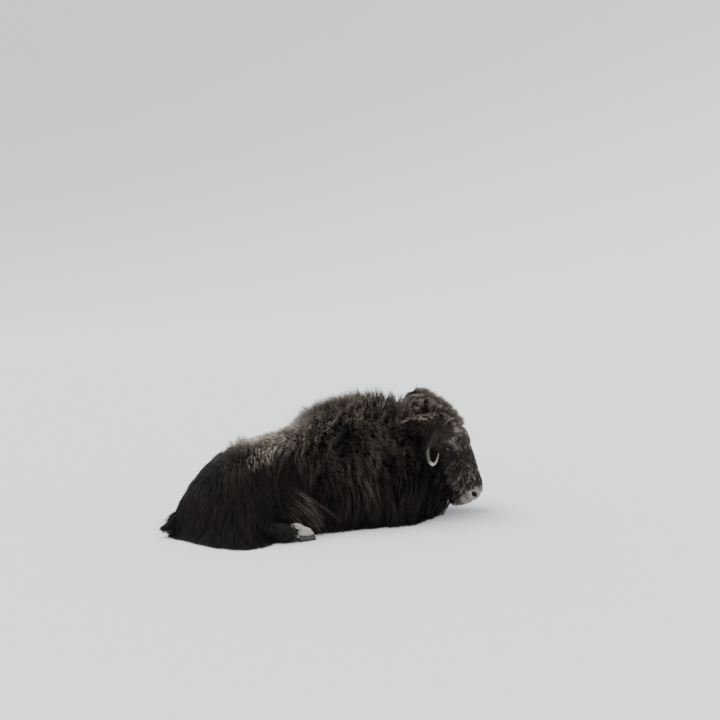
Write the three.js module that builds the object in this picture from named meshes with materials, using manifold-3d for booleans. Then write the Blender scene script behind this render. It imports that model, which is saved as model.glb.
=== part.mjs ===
// A young muskox cow lying on its chest and belly, life size, in millimetres.
// +X runs from tail to nose, +Y to the animal's left and +Z up. The floor is z = 0.
// The coat is built as forms over a core: rounded clumps where the wool stands,
// and flat tapered locks where the long hair hangs.
import * as THREE from 'three';
import { LoftGeometry } from 'three/addons/geometries/LoftGeometry.js';
import { mergeVertices } from 'three/addons/utils/BufferGeometryUtils.js';
import Module from 'manifold-3d';

const wasm = await Module();
wasm.setup();

// Driving sizes of the whole animal. Widths are half widths, and each pair is
// a place along the body and the size there, out to the tips of the coat.
const BODY_BACK = -884;
const BODY_FRONT = 606;
const TOP_LINE = track([
	[BODY_BACK, 20], [-863, 114], [-783, 252], [-700, 346], [-590, 416], [-470, 452], [-356, 482],
	[-274, 514], [-144, 612], [-50, 654], [110, 681], [210, 683], [330, 622], [430, 575], [510, 400],
	[BODY_FRONT, 118]
]);
const RIGHT_WIDTH = track([
	[BODY_BACK, 14], [-860, 46], [-800, 104], [-711, 160], [-640, 190], [-560, 206], [-470, 214],
	[-390, 222], [-200, 250], [80, 278], [250, 274], [360, 250], [450, 208], [530, 140], [BODY_FRONT, 52]
]);
const LEFT_WIDTH = track([
	[BODY_BACK, 14], [-860, 70], [-800, 160], [-711, 240], [-600, 296], [-470, 290],
	[-390, 270], [-200, 250], [80, 266], [250, 262], [360, 244], [450, 200], [530, 132], [BODY_FRONT, 50]
]);
const FLOOR_FLARE = track([
	[BODY_BACK, 6], [-800, 36], [-711, 78], [-600, 95], [-500, 64], [-400, 8], [-200, -14],
	[40, -34], [280, -10], [360, -30], [450, -58], [530, -48], [BODY_FRONT, -20]
]);
const MIDLINE = track([
	[BODY_BACK, 0], [-711, -60], [-560, -80], [-400, -34], [-200, 0], [300, 0], [430, -12], [520, -48],
	[BODY_FRONT, -76]
]);
const UNDERLINE = track([[BODY_BACK, 0], [480, 0], [540, 26], [BODY_FRONT, 72]]);
const BOXINESS = track([
	[BODY_BACK, 0.8], [-600, 0.56], [-400, 0.7], [0, 0.86], [300, 0.82], [BODY_FRONT, 0.7]
]);
const COAT_DEPTH = track([
	[BODY_BACK, 34], [-700, 54], [-400, 58], [-150, 78], [50, 100], [260, 108], [450, 96], [BODY_FRONT, 54]
]);
const CORE_SHARE = 0.5;

// The head hangs from the neck, turned to the animal's right.
const HEAD_PIVOT = new THREE.Vector3(450, -20, 0);
const HEAD_TURN = 18;
const HEAD_DROP = 67;
const HEAD_REACH = 120;
const HEAD_HEIGHT = 600;
const HEAD_BACK = -110;
const HEAD_FRONT = 559;
const FACE_LINE = track([
	[HEAD_BACK, -100], [-90, -62], [-50, -34], [11, 6], [91, 37], [160, 32], [237, 36], [262, 28],
	[330, 18], [420, 10], [500, 3], [531, -9], [549, -34], [HEAD_FRONT, -72]
]);
const JAW_LINE = track([
	[HEAD_BACK, -180], [-60, -250], [20, -290], [150, -282], [237, -250], [321, -222], [409, -196],
	[487, -180], [531, -172], [550, -158], [HEAD_FRONT, -128]
]);
const HEAD_WIDTH = track([
	[HEAD_BACK, 30], [-80, 96], [-30, 132], [60, 146], [130, 134], [180, 108], [226, 97], [321, 92],
	[409, 79], [487, 66], [531, 58], [549, 46], [HEAD_FRONT, 24]
]);
const HEAD_COAT = track([[HEAD_BACK, 58], [20, 62], [100, 48], [156, 24], [196, 0], [HEAD_FRONT, 0]]);
const WIDEST_SHARE = 0.46;
const JAW_NARROWING = 0.24;
const UPRIGHT_CURVE = 0.84;
const SIDE_CURVE = 0.82;
const ORBIT = { t: 216, rise: -92, reach: 34, swell: 5 };

// Places on the head: along it from the poll, out to the side, and up from its axis.
const EYE = { t: 226, out: 90, rise: -101, radius: 17 };
const LID = { open: 52, slant: 30, roundness: 0.78, upper: 5, lower: 4 };
const BROW = { route: [[156, -112], [170, -84], [192, -62], [222, -50], [250, -52]], radius: 13, sink: 7 };
const MOUTH = {
	route: [[462, -146], [490, -138], [520, -126], [544, -112], [553, -101]], front: [559, -99],
	groove: 4.5, lip: 10, lipRadius: 11, lipSink: 6
};
const NOSTRIL = {
	route: [[548, -30], [538, -48], [522, -58], [507, -52], [502, -40]],
	rim: [[546, -14], [522, -22], [500, -30], [492, -46], [502, -66], [522, -74]],
	depth: 9.5, rimRadius: 9, rimSink: 5
};
const EAR = {
	base: [52, 104, -112], middle: [24, 164, -182], tip: [0, 204, -246],
	width: 56, thickness: 20, cup: 12
};
const HORN_ROUTE = [
	[250, 30, 18], [218, 40, 10], [187, 54, -6], [131, 84, -47], [112, 118, -100], [128, 144, -156],
	[162, 152, -192], [200, 157, -210], [236, 161, -215], [254, 164, -204], [251, 167, -188],
	[234, 168, -171], [209, 168, -152]
];
const HORN_GIRTH = track([
	[0, 15], [0.12, 20], [0.3, 19], [0.5, 13], [0.7, 10.5], [0.85, 7.5], [0.94, 5], [1, 1.6]
]);
const BOSS_FLATNESS = track([[0, 0.5], [0.25, 0.62], [0.45, 0.95], [1, 0.95]]);

// The coat. Each area of the body carries rows of forms at levels up the side, as turn
// values of the body's section, with lengths and widths out to the tips.
const SIDE_ROWS = {
	from: -372, to: 486, pitch: 136, levels: [0.31, 0.175, 0.06], length: [270, 270, 190]
};
const HAUNCH_ROWS = {
	from: -800, to: -420, pitch: 118, levels: [0.39, 0.23, 0.09], length: [270, 270, 190]
};
const HUMP_WOOL = { from: -210, to: 346, pitch: 130, levels: [0.33, 0.67], size: 72 };
const SADDLE_WOOL = { from: -570, to: -200, pitch: 132, levels: [0.34, 0.66], size: 76 };
const POLL_WOOL = { from: -86, to: 196, pitch: 112, turns: [-0.02, 0.52], size: 54, clearOfHorn: 58 };
const CHEEK_HAIR = {
	from: 250, to: 430, pitch: 104, turns: [0.93, 0.85], length: 112, width: 74, thickness: 16
};
const CHIN_HAIR = { from: 436, to: 510, count: 2, turns: [0.7, 0.8], length: 62, width: 34, thickness: 14 };
const THROAT_HAIR = { x: 560, turns: [0.3, 0.7], length: 120, width: 110, thickness: 22 };
const EAR_HAIR = { along: [0.62, 0.95], length: 46, width: 34, thickness: 11 };
const TAIL_HAIR = { along: [0.5, 0.78], spread: 0.5, length: 84, width: 34, thickness: 12 };
const LOCK = { width: 128, thickness: 22, jitter: 0.16 };
const LOCK_SECTION = [[1, -0.5], [0, 1], [-1, -0.5]];
const LOCK_MARKS = [-0.06, 0.24, 0.62, 1];
const LOCK_RISES = [0.1, 0.78, 0.97, 0.9];
const LOCK_WIDTHS = [0.7, 1, 0.9, 0.14];
const LOCK_DEPTHS = [1, 1, 0.7, 0.25];
const CLUMP_RISES = [0.15, 0.72, 1];
const CLUMP_SPREAD = [0.72, 1, 0.4];
const CLUMP_LEAN = 0.5;
const FLOOR_HAIR = 7;
const HAUNCH_TOPS = [new THREE.Vector3(-560, -100, 430), new THREE.Vector3(-560, 90, 405)];

// Legs, as joints with a radius at each, for the animal's right side.
const FOREARM = [[80, -160, 168, 58], [388, -126, 66, 44]];
const FORE_CANNON = [[398, -130, 48, 42], [290, -118, 32, 30], [158, -108, 26, 25]];
const HIND_SHANK = [
	[-610, -215, 90, 55], [-520, -250, 75, 46], [-440, -285, 62, 38], [-392, -302, 58, 36],
	[-345, -302, 48, 33], [-316, -300, 34, 27]
];
const FAR_LEG_SHIFT = { fore: -14, hind: 18 };
const HOOF = { length: 84, width: 35, height: 44, spread: 19.5, toeIn: 0.06 };
const HIND_HOOF_BACK = [-335, -300];
const FORE_HOOF_BACK = [166, -108];
const DEWCLAW = { radius: 11, length: 30, spread: 17 };
const FOREFOOT_HOLLOW = [[216, -108, 26, 42], [150, -108, 26, 56], [70, -108, 26, 52]];

const TAIL = [[-800, 0, 150, 34], [-862, -4, 94, 22], [-898, -14, 59, 14], [-926, -22, 46, 6]];

// The flesh is parted by thin gaps at the shoulder, behind the ears and round the haunches.
const GAP = 0.3;
const SHOULDER_CUT = { point: [272, 0, 350], normal: [0.985, 0, 0.17] };
const HEAD_CUT = { point: [424, -10, 440], normal: [0.92, -0.2, 0.335] };
const HAUNCH_CUT = { spineBack: [-1000, -4], spineFront: [-436, -116], flankFoot: [-372, -520] };

const BODY_STATIONS = 24;
const BODY_SIDES = 22;
const HEAD_STATIONS = 19;
const HEAD_SIDES = 20;

const random = seeded(31);

// A smooth curve through [place, value] pairs that never overshoots them.
function track(pairs) {
	const secants = pairs.slice(1).map(([x, y], i) => (y - pairs[i][1]) / (x - pairs[i][0]));
	const slopes = pairs.map((_, i) => {
		const before = secants[i - 1] ?? secants[0];
		const after = secants[i] ?? secants[secants.length - 1];
		return before * after <= 0 ? 0 : 2 * before * after / (before + after);
	});
	return (x) => {
		const last = pairs.length - 1;
		if (x <= pairs[0][0]) return pairs[0][1];
		if (x >= pairs[last][0]) return pairs[last][1];
		const i = pairs.findIndex(([place]) => place > x) - 1;
		const [x0, y0] = pairs[i];
		const [x1, y1] = pairs[i + 1];
		const span = x1 - x0;
		const s = (x - x0) / span;
		return y0 * (1 + 2 * s) * (1 - s) ** 2 + slopes[i] * span * s * (1 - s) ** 2
			+ y1 * s * s * (3 - 2 * s) + slopes[i + 1] * span * s * s * (s - 1);
	};
}

function seeded(seed) {
	let state = seed;
	return () => {
		state = (state * 1664525 + 1013904223) % 4294967296;
		return state / 4294967296;
	};
}

const power = (value, exponent) => Math.sign(value) * Math.abs(value) ** exponent;
const bell = (distance, reach) => Math.exp(-((distance / reach) ** 2));
const steps = (count) => Array.from({ length: count }, (_, i) => i / (count - 1));
const around = (count) => Array.from({ length: count }, (_, i) => i / count);
const mirrored = (joints, shift) => joints.map(([x, y, z, r]) => [x + shift, -y, z, r]);

// A closed geometry as a solid, turned so that its faces point out.
function solid(geometry) {
	const bare = geometry.index ? geometry.toNonIndexed() : geometry.clone();
	bare.deleteAttribute('normal');
	bare.deleteAttribute('uv');
	const merged = mergeVertices(bare, 1e-3);
	const vertices = merged.attributes.position.array;
	const triangles = Uint32Array.from(merged.index.array);
	let volume = 0;
	const corner = [new THREE.Vector3(), new THREE.Vector3(), new THREE.Vector3()];
	for (let i = 0; i < triangles.length; i += 3) {
		corner.forEach((c, k) => c.fromArray(vertices, 3 * triangles[i + k]));
		volume += corner[0].dot(corner[1].cross(corner[2]));
	}
	if (volume < 0) {
		for (let i = 0; i < triangles.length; i += 3) {
			[triangles[i], triangles[i + 1]] = [triangles[i + 1], triangles[i]];
		}
	}
	return new wasm.Manifold(new wasm.Mesh({
		numProp: 3, vertProperties: Float32Array.from(vertices), triVerts: triangles
	}));
}

const join = (pieces) => pieces.reduce((whole, piece) => whole.add(piece));

// A closed skin over rings of points, wound so that each ring runs anticlockwise seen from the far end.
function loft(rings) {
	const [before, ring, after] = rings.slice(0, 3);
	const along = new THREE.Vector3();
	const normal = new THREE.Vector3();
	ring.forEach((p, i) => {
		along.add(after[i]).sub(before[i]);
		normal.add(p.clone().sub(ring[0]).cross(ring[(i + 1) % ring.length].clone().sub(ring[0])));
	});
	const sections = normal.dot(along) < 0 ? rings.map((points) => [...points].reverse()) : rings;
	return solid(new LoftGeometry(sections, { capStart: true, capEnd: true }));
}

// The largest closed surface of a solid, which drops loose scraps and sealed hollows.
function largest(shape) {
	const pieces = shape.decompose();
	return pieces.reduce((best, piece) => (piece.volume() > best.volume() ? piece : best));
}

// A block whose one face lies through the point, filling the side that the normal points to.
function halfSpace({ point, normal }, side, gap = GAP / 2) {
	const size = 4000;
	const direction = new THREE.Vector3(...normal).normalize().multiplyScalar(side);
	const block = new THREE.BoxGeometry(size, size, size);
	const turn = new THREE.Quaternion().setFromUnitVectors(new THREE.Vector3(0, 0, 1), direction);
	block.applyQuaternion(turn);
	const middle = new THREE.Vector3(...point).addScaledVector(direction, size / 2 + gap);
	block.translate(middle.x, middle.y, middle.z);
	return solid(block);
}

const FLOOR = { point: [0, 0, 0], normal: [0, 0, 1] };
const aboveFloor = halfSpace(FLOOR, 1, 0);

// The coated body as sections across x. Turn runs from 0 at the right floor edge
// over the back to 1 at the left one, and rise from 0 on the skin to 1 at the tips.
const body = {
	section(x, rise) {
		const inset = (1 - rise) * COAT_DEPTH(x);
		const low = UNDERLINE(x);
		return {
			right: Math.max(RIGHT_WIDTH(x) - inset, 2), left: Math.max(LEFT_WIDTH(x) - inset, 2),
			low, high: Math.max(TOP_LINE(x) - inset, low + 4),
			flare: FLOOR_FLARE(x) * (0.25 + 0.75 * rise),
			middle: MIDLINE(x), bend: BOXINESS(x), lift: 0.55 + 0.45 * BOXINESS(x)
		};
	},
	at(x, turn, rise) {
		const { right, left, low, high, flare, middle, bend, lift } = body.section(x, rise);
		const across = Math.cos(Math.PI * turn);
		const up = Math.max(Math.sin(Math.PI * turn), 0);
		const side = (across > 0 ? right : left) * Math.abs(across) ** bend + flare * (1 - up) ** 4;
		return new THREE.Vector3(
			x, middle - Math.sign(across) * Math.max(side, 0), low + (high - low) * up ** lift
		);
	},
	locate(p) {
		const { right, left, low, high, flare, middle, bend, lift } = body.section(p.x, CORE_SHARE);
		const up = THREE.MathUtils.clamp((p.z - low) / (high - low), 0, 1) ** (1 / lift);
		const out = Math.max(Math.abs(p.y - middle) - flare * (1 - up) ** 4, 0);
		const reach = Math.min(out / (p.y < middle ? right : left), 1) ** (1 / bend);
		const angle = Math.atan2(up, reach) / Math.PI;
		return [p.x, p.y < middle ? angle : 1 - angle];
	},
	solid(rise) {
		const first = BODY_BACK + (1 - rise) * COAT_DEPTH(BODY_BACK);
		const last = BODY_FRONT - (1 - rise) * COAT_DEPTH(BODY_FRONT);
		return loft(steps(BODY_STATIONS).map((s) => steps(BODY_SIDES).map(
			(turn) => body.at(first + (last - first) * s, turn, rise)
		)));
	}
};

// The head as sections along its own axis, in the same way, with turn going once round.
const head = {
	frame: new THREE.Matrix4(),
	section(t, rise) {
		const inset = (1 - rise) * HEAD_COAT(t);
		const top = FACE_LINE(t) - inset;
		const bottom = Math.min(JAW_LINE(t) + inset * 0.6, top - 6);
		const width = Math.max(HEAD_WIDTH(t) - inset, 4);
		return { top, bottom, middle: top - WIDEST_SHARE * (top - bottom), width };
	},
	swell: (t, z) => ORBIT.swell * bell(t - ORBIT.t, ORBIT.reach) * bell(z - ORBIT.rise, ORBIT.reach),
	at(t, turn, rise) {
		const { top, bottom, middle, width } = head.section(t, rise);
		const across = Math.cos(2 * Math.PI * turn);
		const up = Math.sin(2 * Math.PI * turn);
		const z = middle + (up > 0 ? top - middle : middle - bottom) * power(up, UPRIGHT_CURVE);
		const narrowing = 1 - JAW_NARROWING * Math.max(-up, 0);
		const out = width * power(across, SIDE_CURVE) * narrowing + Math.sign(across) * head.swell(t, z);
		return new THREE.Vector3(t, -out, z).applyMatrix4(head.frame);
	},
	locate(p) {
		const { x: t, y, z } = p.clone().applyMatrix4(head.frame.clone().invert());
		const { top, bottom, middle, width } = head.section(t, CORE_SHARE);
		const share = (z - middle) / (z > middle ? top - middle : middle - bottom);
		const up = power(THREE.MathUtils.clamp(share, -1, 1), 1 / UPRIGHT_CURVE);
		const across = power(THREE.MathUtils.clamp(-y / width, -1, 1), 1 / SIDE_CURVE);
		return [t, Math.atan2(up, across) / (2 * Math.PI)];
	},
	// How far out the skin lies at a place along the head and a height over its axis.
	reach(t, z) {
		const { top, bottom, middle, width } = head.section(t, 0);
		const share = (z - middle) / (z > middle ? top - middle : middle - bottom);
		const lift = Math.min(Math.abs(share), 1) ** (1 / UPRIGHT_CURVE);
		const narrowing = 1 - JAW_NARROWING * (z < middle ? lift : 0);
		return width * Math.sqrt(1 - lift * lift) ** SIDE_CURVE * narrowing + head.swell(t, z);
	},
	solid(rise) {
		const first = HEAD_BACK + (1 - rise) * HEAD_COAT(HEAD_BACK);
		const last = HEAD_FRONT - (1 - rise) * HEAD_COAT(HEAD_FRONT);
		return loft(steps(HEAD_STATIONS).map((s) => around(HEAD_SIDES).map(
			(turn) => head.at(first + (last - first) * s ** 0.82, turn, rise)
		)));
	}
};
setHeadFrame();

function setHeadFrame() {
	const turn = THREE.MathUtils.degToRad(HEAD_TURN);
	const drop = THREE.MathUtils.degToRad(HEAD_DROP);
	const forward = new THREE.Vector3(Math.cos(turn), -Math.sin(turn), 0);
	const left = new THREE.Vector3(Math.sin(turn), Math.cos(turn), 0);
	const up = new THREE.Vector3(0, 0, 1);
	const along = forward.clone().multiplyScalar(Math.cos(drop)).addScaledVector(up, -Math.sin(drop));
	const dorsal = forward.clone().multiplyScalar(Math.sin(drop)).addScaledVector(up, Math.cos(drop));
	const origin = HEAD_PIVOT.clone().addScaledVector(forward, HEAD_REACH).addScaledVector(up, HEAD_HEIGHT);
	head.frame.makeBasis(along, left, dorsal).setPosition(origin);
}

// A place on the head, with side 1 for its right and -1 for its left.
const onHead = ([t, out, rise], side) => new THREE.Vector3(t, -out * side, rise).applyMatrix4(head.frame);

// A tapering rod with an oval section along a smooth curve. Its half width and half
// thickness are functions of the share of the way along, and its flat sides face `flatTo`.
// Grow makes it bigger all round, ends included.
function rod(points, { rings, sides = 10, width, thickness = width, flatTo = [0, 0, 1], grow = 0 }) {
	const curve = new THREE.CatmullRomCurve3(points, false, 'centripetal');
	const across = curve.getTangent(0).cross(new THREE.Vector3(...flatTo));
	return loft(steps(rings).map((s) => {
		const along = curve.getTangent(s);
		const stretch = s === 0 ? -grow : s === 1 ? grow : 0;
		const middle = curve.getPoint(s).addScaledVector(along, stretch);
		across.addScaledVector(along, -across.dot(along)).normalize();
		const normal = across.clone().cross(along);
		return around(sides).map((turn) => middle.clone()
			.addScaledVector(across, Math.cos(2 * Math.PI * turn) * (width(s) + grow))
			.addScaledVector(normal, Math.sin(2 * Math.PI * turn) * (thickness(s) + grow)));
	}));
}

function limb(joints, grow = 0) {
	const points = joints.map(([x, y, z]) => new THREE.Vector3(x, y, z));
	const radius = track(joints.map(([, , , r], i) => [i / (joints.length - 1), r]));
	return rod(points, { rings: 2 * joints.length, sides: 7, width: radius, grow });
}

// One half of a cloven hoof: wide and high behind, low at the toe, flat beneath.
function hoof([x, y], side, facing, grow = 0) {
	const toe = facing * HOOF.length;
	return loft(steps(5).map((s) => {
		const width = (HOOF.width / 2) * (1 - 0.45 * s ** 2.2) + grow;
		const height = HOOF.height * (1 - 0.62 * s ** 1.3) + 2 * grow;
		const start = s === 0 ? -facing * grow : s === 1 ? facing * grow : 0;
		return steps(7).map((turn) => new THREE.Vector3(
			x + toe * s + start,
			y + side * HOOF.spread * (1 - HOOF.toeIn * s) - Math.cos(Math.PI * turn) * width,
			-grow + height * Math.sin(Math.PI * turn) ** 0.7
		));
	}));
}

function dewclaw([x, y], side, facing, grow = 0) {
	const ball = new THREE.SphereGeometry(1, 6, 4);
	ball.scale(DEWCLAW.length / 2 + grow, DEWCLAW.radius + grow, DEWCLAW.radius + grow);
	ball.translate(x - facing * 22, y + side * DEWCLAW.spread, DEWCLAW.radius + 1);
	return solid(ball);
}

// The feet: each with two hooves and two dewclaws, placed behind a leg's last joint.
const FEET = [
	{ name: 'hind_right', back: HIND_HOOF_BACK, facing: 1 },
	{ name: 'hind_left', back: [HIND_HOOF_BACK[0] + FAR_LEG_SHIFT.hind, -HIND_HOOF_BACK[1]], facing: 1 },
	{ name: 'fore_right', back: FORE_HOOF_BACK, facing: -1 },
	{ name: 'fore_left', back: [FORE_HOOF_BACK[0] + FAR_LEG_SHIFT.fore, -FORE_HOOF_BACK[1]], facing: -1 }
];

function footPieces({ name, back, facing }, grow) {
	const middleSide = back[1] < 0 ? 1 : -1;
	return [1, -1].flatMap((side) => {
		const place = side === middleSide ? 'inner' : 'outer';
		return [
			{ name: `hoof_${name}_${place}`, shape: hoof(back, side, facing, grow) },
			{ name: `dewclaw_${name}_${place}`, shape: dewclaw(back, side, facing, grow) }
		];
	});
}

const legLimbs = (grow) => ({
	fore_right: limb(FOREARM, grow).add(limb(FORE_CANNON, grow)),
	fore_left: limb(mirrored(FOREARM, FAR_LEG_SHIFT.fore), grow)
		.add(limb(mirrored(FORE_CANNON, FAR_LEG_SHIFT.fore), grow)),
	hind_right: limb(HIND_SHANK, grow),
	hind_left: limb(mirrored(HIND_SHANK, FAR_LEG_SHIFT.hind), grow)
});

// The upright wall that parts a haunch from the trunk, as a wedge open to the back and side.
function haunchWedge(side, grow) {
	const outline = new THREE.Shape([
		new THREE.Vector2(HAUNCH_CUT.spineBack[0] - grow, HAUNCH_CUT.spineBack[1] + grow),
		new THREE.Vector2(HAUNCH_CUT.spineFront[0] + grow, HAUNCH_CUT.spineFront[1] + grow),
		new THREE.Vector2(HAUNCH_CUT.flankFoot[0] + grow, HAUNCH_CUT.flankFoot[1]),
		new THREE.Vector2(HAUNCH_CUT.spineBack[0] - grow, HAUNCH_CUT.flankFoot[1])
	]);
	const wedge = new THREE.ExtrudeGeometry(outline, { depth: 1000, bevelEnabled: false });
	wedge.translate(0, 0, -100);
	if (side < 0) wedge.scale(1, -1, 1);
	return solid(wedge);
}

function hornShape(side, grow) {
	const points = HORN_ROUTE.map((place) => onHead(place, side));
	const outward = onHead([0, 1, 0.35], side).sub(onHead([0, 0, 0], side)).toArray();
	return rod(points, {
		rings: 18, sides: 8, width: HORN_GIRTH, thickness: (s) => HORN_GIRTH(s) * BOSS_FLATNESS(s),
		flatTo: outward, grow
	});
}

function eyeball(side, grow) {
	const ball = new THREE.SphereGeometry(EYE.radius + grow, 10, 7);
	const middle = onHead([EYE.t, EYE.out, EYE.rise], side);
	ball.translate(middle.x, middle.y, middle.z);
	return solid(ball);
}

// An ear leaf, wide in the middle and hollowed on its lower outer face.
function earShape(side, grow) {
	const points = [EAR.base, EAR.middle, EAR.tip].map((place) => onHead(place, side));
	const open = new THREE.Vector3(0.15, -0.8 * side, -0.55).normalize();
	const spread = track([[0, 0.5], [0.3, 0.9], [0.55, 1], [0.85, 0.62], [1, 0.16]]);
	const leaf = rod(points, {
		rings: 6, width: (s) => EAR.width * spread(s),
		thickness: (s) => EAR.thickness * (0.45 + 0.55 * spread(s)), flatTo: open.toArray(), grow
	});
	if (grow > 0) return leaf;
	const inside = points.map((p) => p.clone().addScaledVector(open, EAR.cup));
	const mouth = (s) => spread(s) * Math.min(1, 4 * s + 0.1);
	const hollow = rod(inside, {
		rings: 6, sides: 8, width: (s) => EAR.width * 0.72 * mouth(s),
		thickness: (s) => (EAR.thickness - 4) * mouth(s), flatTo: open.toArray()
	});
	return leaf.subtract(hollow);
}

// A ridge or groove that follows the skin of one side of the head, through [t, rise] places.
function faceCord(route, side, radius, lift) {
	const points = route.map(([t, rise]) => onHead([t, head.reach(t, rise) + lift, rise], side));
	const taper = track([[0, 0.35], [0.25, 1], [0.75, 1], [1, 0.35]]);
	return rod(points, { rings: 6, sides: 6, width: (s) => radius * taper(s) });
}

// The lips' line runs round the front of the muzzle from one corner of the mouth to the other.
function muzzleCord(offset, radius, sink) {
	const half = (side) => MOUTH.route.map(
		([t, rise]) => onHead([t - sink / 2, head.reach(t, rise + offset) - sink, rise + offset], side)
	);
	const front = onHead([MOUTH.front[0] - sink, 0, MOUTH.front[1] + offset], 1);
	const points = [...half(1), front, ...half(-1).reverse()];
	const taper = track([[0, 0.3], [0.14, 1], [0.86, 1], [1, 0.3]]);
	return rod(points, { rings: 13, sides: 6, width: (s) => radius * taper(s) });
}

// An eyelid as an arc that hugs the ball, over or under the slit.
function lid(side, upper) {
	const open = THREE.MathUtils.degToRad(LID.open);
	const start = THREE.MathUtils.degToRad(LID.slant + (upper ? 0 : 180));
	const reach = EYE.radius + 1;
	const points = steps(7).map((s) => {
		const angle = start + Math.PI * s;
		return onHead([
			EYE.t + reach * Math.sin(open) * Math.cos(angle),
			EYE.out + reach * Math.cos(open),
			EYE.rise + reach * Math.sin(open) * Math.sin(angle) * LID.roundness
		], side);
	});
	const radius = upper ? LID.upper : LID.lower;
	const taper = track([[0, 0.5], [0.3, 1], [0.7, 1], [1, 0.5]]);
	return rod(points, { rings: 7, sides: 6, width: (s) => radius * taper(s) });
}

// Lips, nostril rims, lids and brows stand on the face, and the mouth and nostrils are cut in.
function addFace(flesh) {
	const ridges = sides.flatMap(([, side]) => [
		faceCord(BROW.route, side, BROW.radius, -BROW.sink),
		faceCord(NOSTRIL.rim, side, NOSTRIL.rimRadius, -NOSTRIL.rimSink),
		lid(side, true), lid(side, false)
	]);
	const lips = [1, -1].map((way) => muzzleCord(way * MOUTH.lip, MOUTH.lipRadius, MOUTH.lipSink));
	const openings = sides.map(([, side]) => faceCord(NOSTRIL.route, side, NOSTRIL.depth, 0));
	return join([flesh, ...ridges, ...lips])
		.subtract(muzzleCord(0, MOUTH.groove, 0)).subtract(join(openings));
}

const sides = [['right', 1], ['left', -1]];

function surfaceNormal(surface, u, v) {
	const along = surface.at(u + 1, v, CORE_SHARE).sub(surface.at(u - 1, v, CORE_SHARE));
	const over = surface.at(u, v + 0.004, CORE_SHARE).sub(surface.at(u, v - 0.004, CORE_SHARE));
	return along.cross(over).normalize();
}

// A walk over a surface along the lay of the hair, which runs on along the floor once it is there.
function walk(surface, place, lay, distances) {
	let [u, v] = place;
	let spot = surface.at(u, v, CORE_SHARE);
	let onFloor = false;
	let gone = 0;
	return distances.map((distance, ring) => {
		const stride = (distance - gone) / 3;
		gone = distance;
		for (let i = 0; i < 3 && stride !== 0; i += 1) {
			const normal = surfaceNormal(surface, u, v);
			const way = lay(spot);
			way.addScaledVector(normal, -way.dot(normal)).normalize();
			const next = spot.clone().addScaledVector(way, stride);
			if (onFloor || next.z < FLOOR_HAIR) {
				const out = way.clone().multiplyScalar(0.4).add(normal).setZ(0).normalize();
				next.copy(spot).addScaledVector(out, Math.abs(stride));
				next.z = FLOOR_HAIR;
				onFloor = true;
			} else {
				[u, v] = surface.locate(next);
				next.copy(surface.at(u, v, CORE_SHARE));
			}
			spot = next;
		}
		const rise = LOCK_RISES[ring];
		return onFloor
			? { middle: spot.clone(), normal: new THREE.Vector3(0, 0, 1) }
			: { middle: surface.at(u, v, rise), normal: surfaceNormal(surface, u, v) };
	});
}

// Whether a lock's rings cross or twist, as where a wide one turns sharply.
const folds = (rings) => rings.slice(1).some((ring, i) => {
	const stride = ring[1].clone().sub(rings[i][1]);
	const across = ring[0].clone().sub(ring[2]).normalize();
	const twist = rings[i][0].clone().sub(rings[i][2]).normalize().dot(across);
	const goesOn = (p, k) => p.clone().sub(rings[i][k]).dot(stride) > 0.1 * stride.lengthSq();
	return twist < 0.6 || !ring.every(goesOn);
});

// The solid angle of a triangle seen from a point.
function solidAngle(corners, point) {
	const [a, b, c] = corners.map((corner) => corner.clone().sub(point));
	const [la, lb, lc] = [a.length(), b.length(), c.length()];
	const above = a.dot(b.clone().cross(c));
	return 2 * Math.atan2(above, la * lb * lc + a.dot(b) * lc + b.dot(c) * la + c.dot(a) * lb);
}

// Whether a form passes through itself: some place just under its skin isn't inside it exactly once.
function crossesItself(shape) {
	const { vertProperties, triVerts } = shape.getMesh();
	const corners = Array.from(triVerts, (v) => new THREE.Vector3().fromArray(vertProperties, 3 * v));
	const faces = Array.from({ length: corners.length / 3 }, (_, i) => corners.slice(3 * i, 3 * i + 3));
	const shares = [[1 / 3, 1 / 3, 1 / 3], [0.8, 0.1, 0.1], [0.1, 0.8, 0.1], [0.1, 0.1, 0.8]];
	return faces.some(([a, b, c]) => {
		const normal = b.clone().sub(a).cross(c.clone().sub(a)).normalize();
		return shares.some(([u, v, w]) => {
			const probe = a.clone().multiplyScalar(u).addScaledVector(b, v).addScaledVector(c, w)
				.addScaledVector(normal, -0.02);
			const turns = faces.reduce((sum, face) => sum + solidAngle(face, probe), 0) / (4 * Math.PI);
			return Math.abs(turns - 1) > 0.5;
		});
	});
}

// A flat lock with a ridge along it: rooted in the core, widest low down, tapering to its tip.
// One that would fold or cross itself is made narrower, and left out where that doesn't help.
function lock(surface, place, lay, { length, width = LOCK.width, thickness = LOCK.thickness }) {
	const line = walk(surface, place, lay, LOCK_MARKS.map((mark) => mark * length));
	const ringsOf = (share) => line.map(({ middle, normal }, i) => {
		const along = line[Math.min(i + 1, line.length - 1)].middle.clone()
			.sub(line[Math.max(i - 1, 0)].middle);
		const across = along.clone().cross(normal).normalize();
		const out = across.clone().cross(along).normalize();
		return LOCK_SECTION.map(([side, up]) => middle.clone()
			.addScaledVector(across, side * width * share * LOCK_WIDTHS[i] / 2)
			.addScaledVector(out, up * thickness * LOCK_DEPTHS[i] / 2));
	});
	const choices = [1, 0.8, 0.6, 0.45, 0.3].map(ringsOf).filter((rings) => !folds(rings)).map(loft);
	return choices.find((choice) => !crossesItself(choice)) ?? null;
}

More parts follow.
